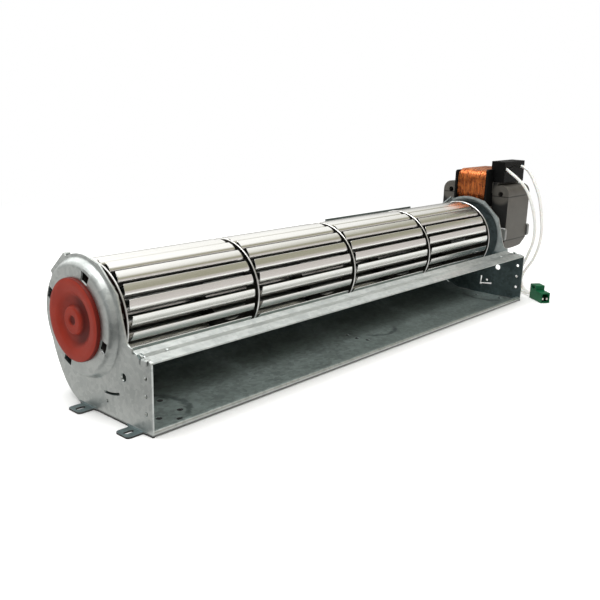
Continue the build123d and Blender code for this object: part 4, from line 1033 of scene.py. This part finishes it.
def coil():
    """Turns of enamelled wire round a plain core: an even layer, and looser ones over it."""
    width = COIL_HIGH.y - COIL_LOW.y
    centre = (COIL_LOW + COIL_HIGH) / 2
    tree = winding_pattern()
    even = grown(coil_loop(EVEN_INSET), tree, WIRE, Count=62, Width=width - WIRE_R, Wire=WIRE_R,
                 Tilt=0.012, Spread=0.003, Centre=centre, Seed=11)
    loose = grown(coil_loop(LOOSE_INSET), tree, WIRE, Count=44, Width=LOOSE_WIDTH * width,
                  Wire=WIRE_R, Tilt=0.13, Spread=0.006, Centre=centre, Seed=12)
    shape = bmesh.new()
    shape.from_mesh(even)
    shape.from_mesh(loose)
    core = node_shape("coil_winding")
    bmesh.ops.translate(core, verts=core.verts, vec=-centre)
    shrink = [1 - 2 * CORE_INSET / (high - low) for low, high in zip(COIL_LOW, COIL_HIGH)]
    bmesh.ops.scale(core, verts=core.verts, vec=shrink)
    bmesh.ops.translate(core, verts=core.verts, vec=centre)
    shape.from_mesh(as_mesh(core, "coil_core"))
    finished("coil_turns", as_mesh(shape, "coil_turns"), WIRE, "duct",
             ["coil_winding"], 60.0)


REAR_FLANGE_TOP = 3.0 * MM
REAR_FLANGE_DROP = 2.2 * MM
FRONT_FLANGE_FOOT = 1.5 * MM
FRONT_FLANGE_DROP = 3.0 * MM


def lower_flanges(shape):
    """Brings the rear flange's top down to the coil's, and the front flange's foot to the plate."""
    top = max(vertex.co.z for vertex in shape.verts)
    bottom = min(vertex.co.z for vertex in shape.verts)
    for vertex in shape.verts:
        if vertex.co.z > top - REAR_FLANGE_TOP and vertex.co.y > AXIS.y:
            vertex.co.z -= REAR_FLANGE_DROP
        if vertex.co.z < bottom + FRONT_FLANGE_FOOT and vertex.co.y < AXIS.y:
            vertex.co.z -= FRONT_FLANGE_DROP


def motor():
    """Frame, coil on its bobbin, terminal box, and the brackets with their bearings and screws."""
    stack()
    coil()
    dressed("bobbin", BLACK, "duct", 0.3 * MM, None, lower_flanges)
    dressed("terminal_box", BLACK, "duct", 0.4 * MM)
    dressed("terminal_pins", TINNED, "duct", 0.1 * MM)
    for node in ("inner_motor_bracket", "outer_motor_bracket"):
        dressed(node, CAST_ZINC, "duct", 0.4 * MM)
    for node in ("inner_motor_bearing", "outer_motor_bearing"):
        dressed(node, BRONZE, "duct", 0.2 * MM)
    for node in ("bracket_screws", "bracket_nuts", "motor_mounting_screws"):
        dressed(node, PLATED, "duct", 0.3 * MM)


# Connector

def connector():
    """Both pieces of the green connector, at the end of the leads."""
    housing = dressed("connector_housing", GREEN, "duct", 0.35 * MM)
    terminals = dressed("connector_terminals", TINNED, "duct", 0.1 * MM)
    return [housing, terminals]


# Surroundings

# Floor, in metres about the origin: the duct's outline on it, the glow round that, and the fade
FLOOR_R = 6.0
FLOOR_DROP = 0.05 * MM
# Inside this outline the floor is painted black: painted shadow under the duct
DUCT_SIDE_X = (0.1885, 0.1895)
DUCT_REAR_Y = (0.012, 0.018)
DUCT_FRONT_Y = (-0.0318, -0.0326)
GLOW_X = (0.17, 0.23)
GLOW_Y = (0.03, 0.10)
GLOW = 0.16
FADE_AWAY = (0.32, 0.75)

# What bright metal mirrors of the floor: in front of the duct, far ahead, to its left and elsewhere
MIRRORED_NEAR = (1.06, 1.08, 1.06)
MIRRORED_FAR = (0.66, 0.62, 0.60)
MIRRORED_LEFT = (0.06, 0.065, 0.065)
MIRRORED_ELSEWHERE = (0.68, 0.67, 0.65)
# Where these change, in metres ahead of the origin, along X, to its left and behind it
NEAR_AHEAD = (0.0, 0.08)
NEAR_X = (-0.24, -0.15)
FAR_AHEAD = (0.22, 0.45)
LEFT_ASIDE = (0.20, 0.25)
LEFT_Y = (0.06, 0.01)

# The room round the fan: its tones, and the directions between which they change
FRONT_LOW = (0.60, 0.565, 0.545)
FRONT_MIDDLE = (0.33, 0.32, 0.235)
FRONT_HIGH = (0.56, 0.54, 0.47)
LEFT_WALL = (0.42, 0.43, 0.43)
BACK_WALL = (0.18, 0.18, 0.175)
CEILING = (1.06, 1.06, 1.04)
WHITE_LIGHT = (1.0, 1.0, 1.0)
MIDDLE_RISE = (0.25, 0.36)
HIGH_RISE = (0.56, 0.68)
CEILING_RISE = (0.42, 0.72)
TO_LEFT = (0.1, 0.9)
TO_FRONT = (-0.6, 0.2)

# Name, place, size in metres, watts, and what each lamp is aimed at
LAMPS = (
    ("above", (-0.15, 0.05, 1.2), 0.8, 14.0, (0.0, 0.0, 0.0)),
    ("behind", (0.1, 1.1, 0.8), 0.8, 3.0, (0.0, 0.0, 0.05)),
)


def mirrored_floor(finish, x, y):
    """The floor as mirrored by bright metal."""
    ahead = y * -1.0
    front = ahead.step(*NEAR_AHEAD) * x.step(*NEAR_X)
    left = (x * -1.0).step(*LEFT_ASIDE) * y.step(*LEFT_Y)
    shine = finish.mix(front, MIRRORED_ELSEWHERE, MIRRORED_NEAR)
    shine = finish.mix(ahead.step(*FAR_AHEAD) * front, shine, MIRRORED_FAR)
    shine = finish.mix(left, shine, MIRRORED_LEFT)
    return finish.node("ShaderNodeEmission", None, {"Color": shine})


def floor():
    """Pale floor: it keeps the fan's shadow, fades to white far off, and is plainer in reflections."""
    finish = Finish("floor", Roughness=0.9)
    x = finish.axis(0)
    y = finish.axis(1)
    aside = x.math("ABSOLUTE")
    # Painted shadow: the floor is black under the duct, and is seen only through its holes
    clear = aside.step(*DUCT_SIDE_X).math("MAXIMUM", y.step(*DUCT_REAR_Y))
    clear = clear.math("MAXIMUM", y.step(*DUCT_FRONT_Y))
    finish.set("Base Color", finish.mix(clear, (0.01, 0.01, 0.01), (0.86, 0.86, 0.86)))
    glow = aside.step(*GLOW_X).math("MAXIMUM", y.math("ABSOLUTE").step(*GLOW_Y))
    finish.set("Emission Color", finish.mix(glow, (0.0, 0.0, 0.0), WHITE_LIGHT))
    finish.set("Emission Strength", GLOW)
    lit = Flow(finish, finish.shader.outputs[0])
    white = finish.node("ShaderNodeEmission", None, {"Color": colour(WHITE_LIGHT)})
    away = finish.node("ShaderNodeVectorMath", {"operation": "LENGTH"},
                       {0: finish.node("ShaderNodeTexCoord", output="Object")}, "Value")
    fade = finish.node("ShaderNodeLightPath", output="Is Camera Ray") * away.step(*FADE_AWAY)
    seen = finish.node("ShaderNodeMixShader", None, {0: fade, 1: lit, 2: white})
    glossy = finish.node("ShaderNodeLightPath", output="Is Glossy Ray")
    inputs = {0: glossy, 1: seen, 2: mirrored_floor(finish, x, y)}
    surface = finish.node("ShaderNodeMixShader", None, inputs)
    finish.feed(finish.tree.nodes["Material Output"].inputs["Surface"], surface)
    shape = bmesh.new()
    bmesh.ops.create_circle(shape, cap_ends=True, segments=96, radius=FLOOR_R)
    mesh = as_mesh(shape, "floor")
    mesh.materials.append(finish.material)
    plane = bpy.data.objects.new("floor", mesh)
    plane.location.z = cad_box[0][2] - FLOOR_DROP
    bpy.context.scene.collection.objects.link(plane)


def studio():
    """White for the camera. For the fan a room: bright above, banded in front, dark behind."""
    world = bpy.data.worlds.new("studio")
    world.use_nodes = True
    bpy.context.scene.world = world
    sky = Nodes(world.node_tree)
    background = world.node_tree.nodes["Background"]
    way = sky.node("ShaderNodeTexCoord", output="Generated")
    left = sky.node("ShaderNodeSeparateXYZ", None, {0: way}, 0) * -1.0
    ahead = sky.node("ShaderNodeSeparateXYZ", None, {0: way}, 1) * -1.0
    rise = sky.node("ShaderNodeSeparateXYZ", None, {0: way}, 2)
    front = sky.mix(rise.step(*MIDDLE_RISE), FRONT_LOW, FRONT_MIDDLE)
    front = sky.mix(rise.step(*HIGH_RISE), front, FRONT_HIGH)
    around = sky.mix(left.step(*TO_LEFT), front, LEFT_WALL)
    around = sky.mix(ahead.step(*TO_FRONT), BACK_WALL, around)
    room = sky.mix((rise - 0.5 * ahead).step(*CEILING_RISE), around, CEILING)
    seen = sky.node("ShaderNodeLightPath", output="Is Camera Ray")
    sky.feed(background.inputs["Color"], sky.mix(seen, room, WHITE_LIGHT))
    sky.feed(background.inputs["Strength"], 1.0)


def lamp(name, place, size, power, aim):
    """Square soft lamp."""
    data = bpy.data.lights.new(name, "AREA")
    data.size = size
    data.energy = power
    item = bpy.data.objects.new(name, data)
    item.location = place
    item.rotation_euler = (Vector(place) - Vector(aim)).to_track_quat("Z", "Y").to_euler()
    bpy.context.scene.collection.objects.link(item)


wheel()
duct()
bearing_mount()
motor()
plug = connector()
lead("lead_1", LEAD_1)
lead("lead_2", LEAD_2)
floor()
studio()
for values in LAMPS:
    lamp(*values)

bpy.context.scene.view_settings.view_transform = "Standard"
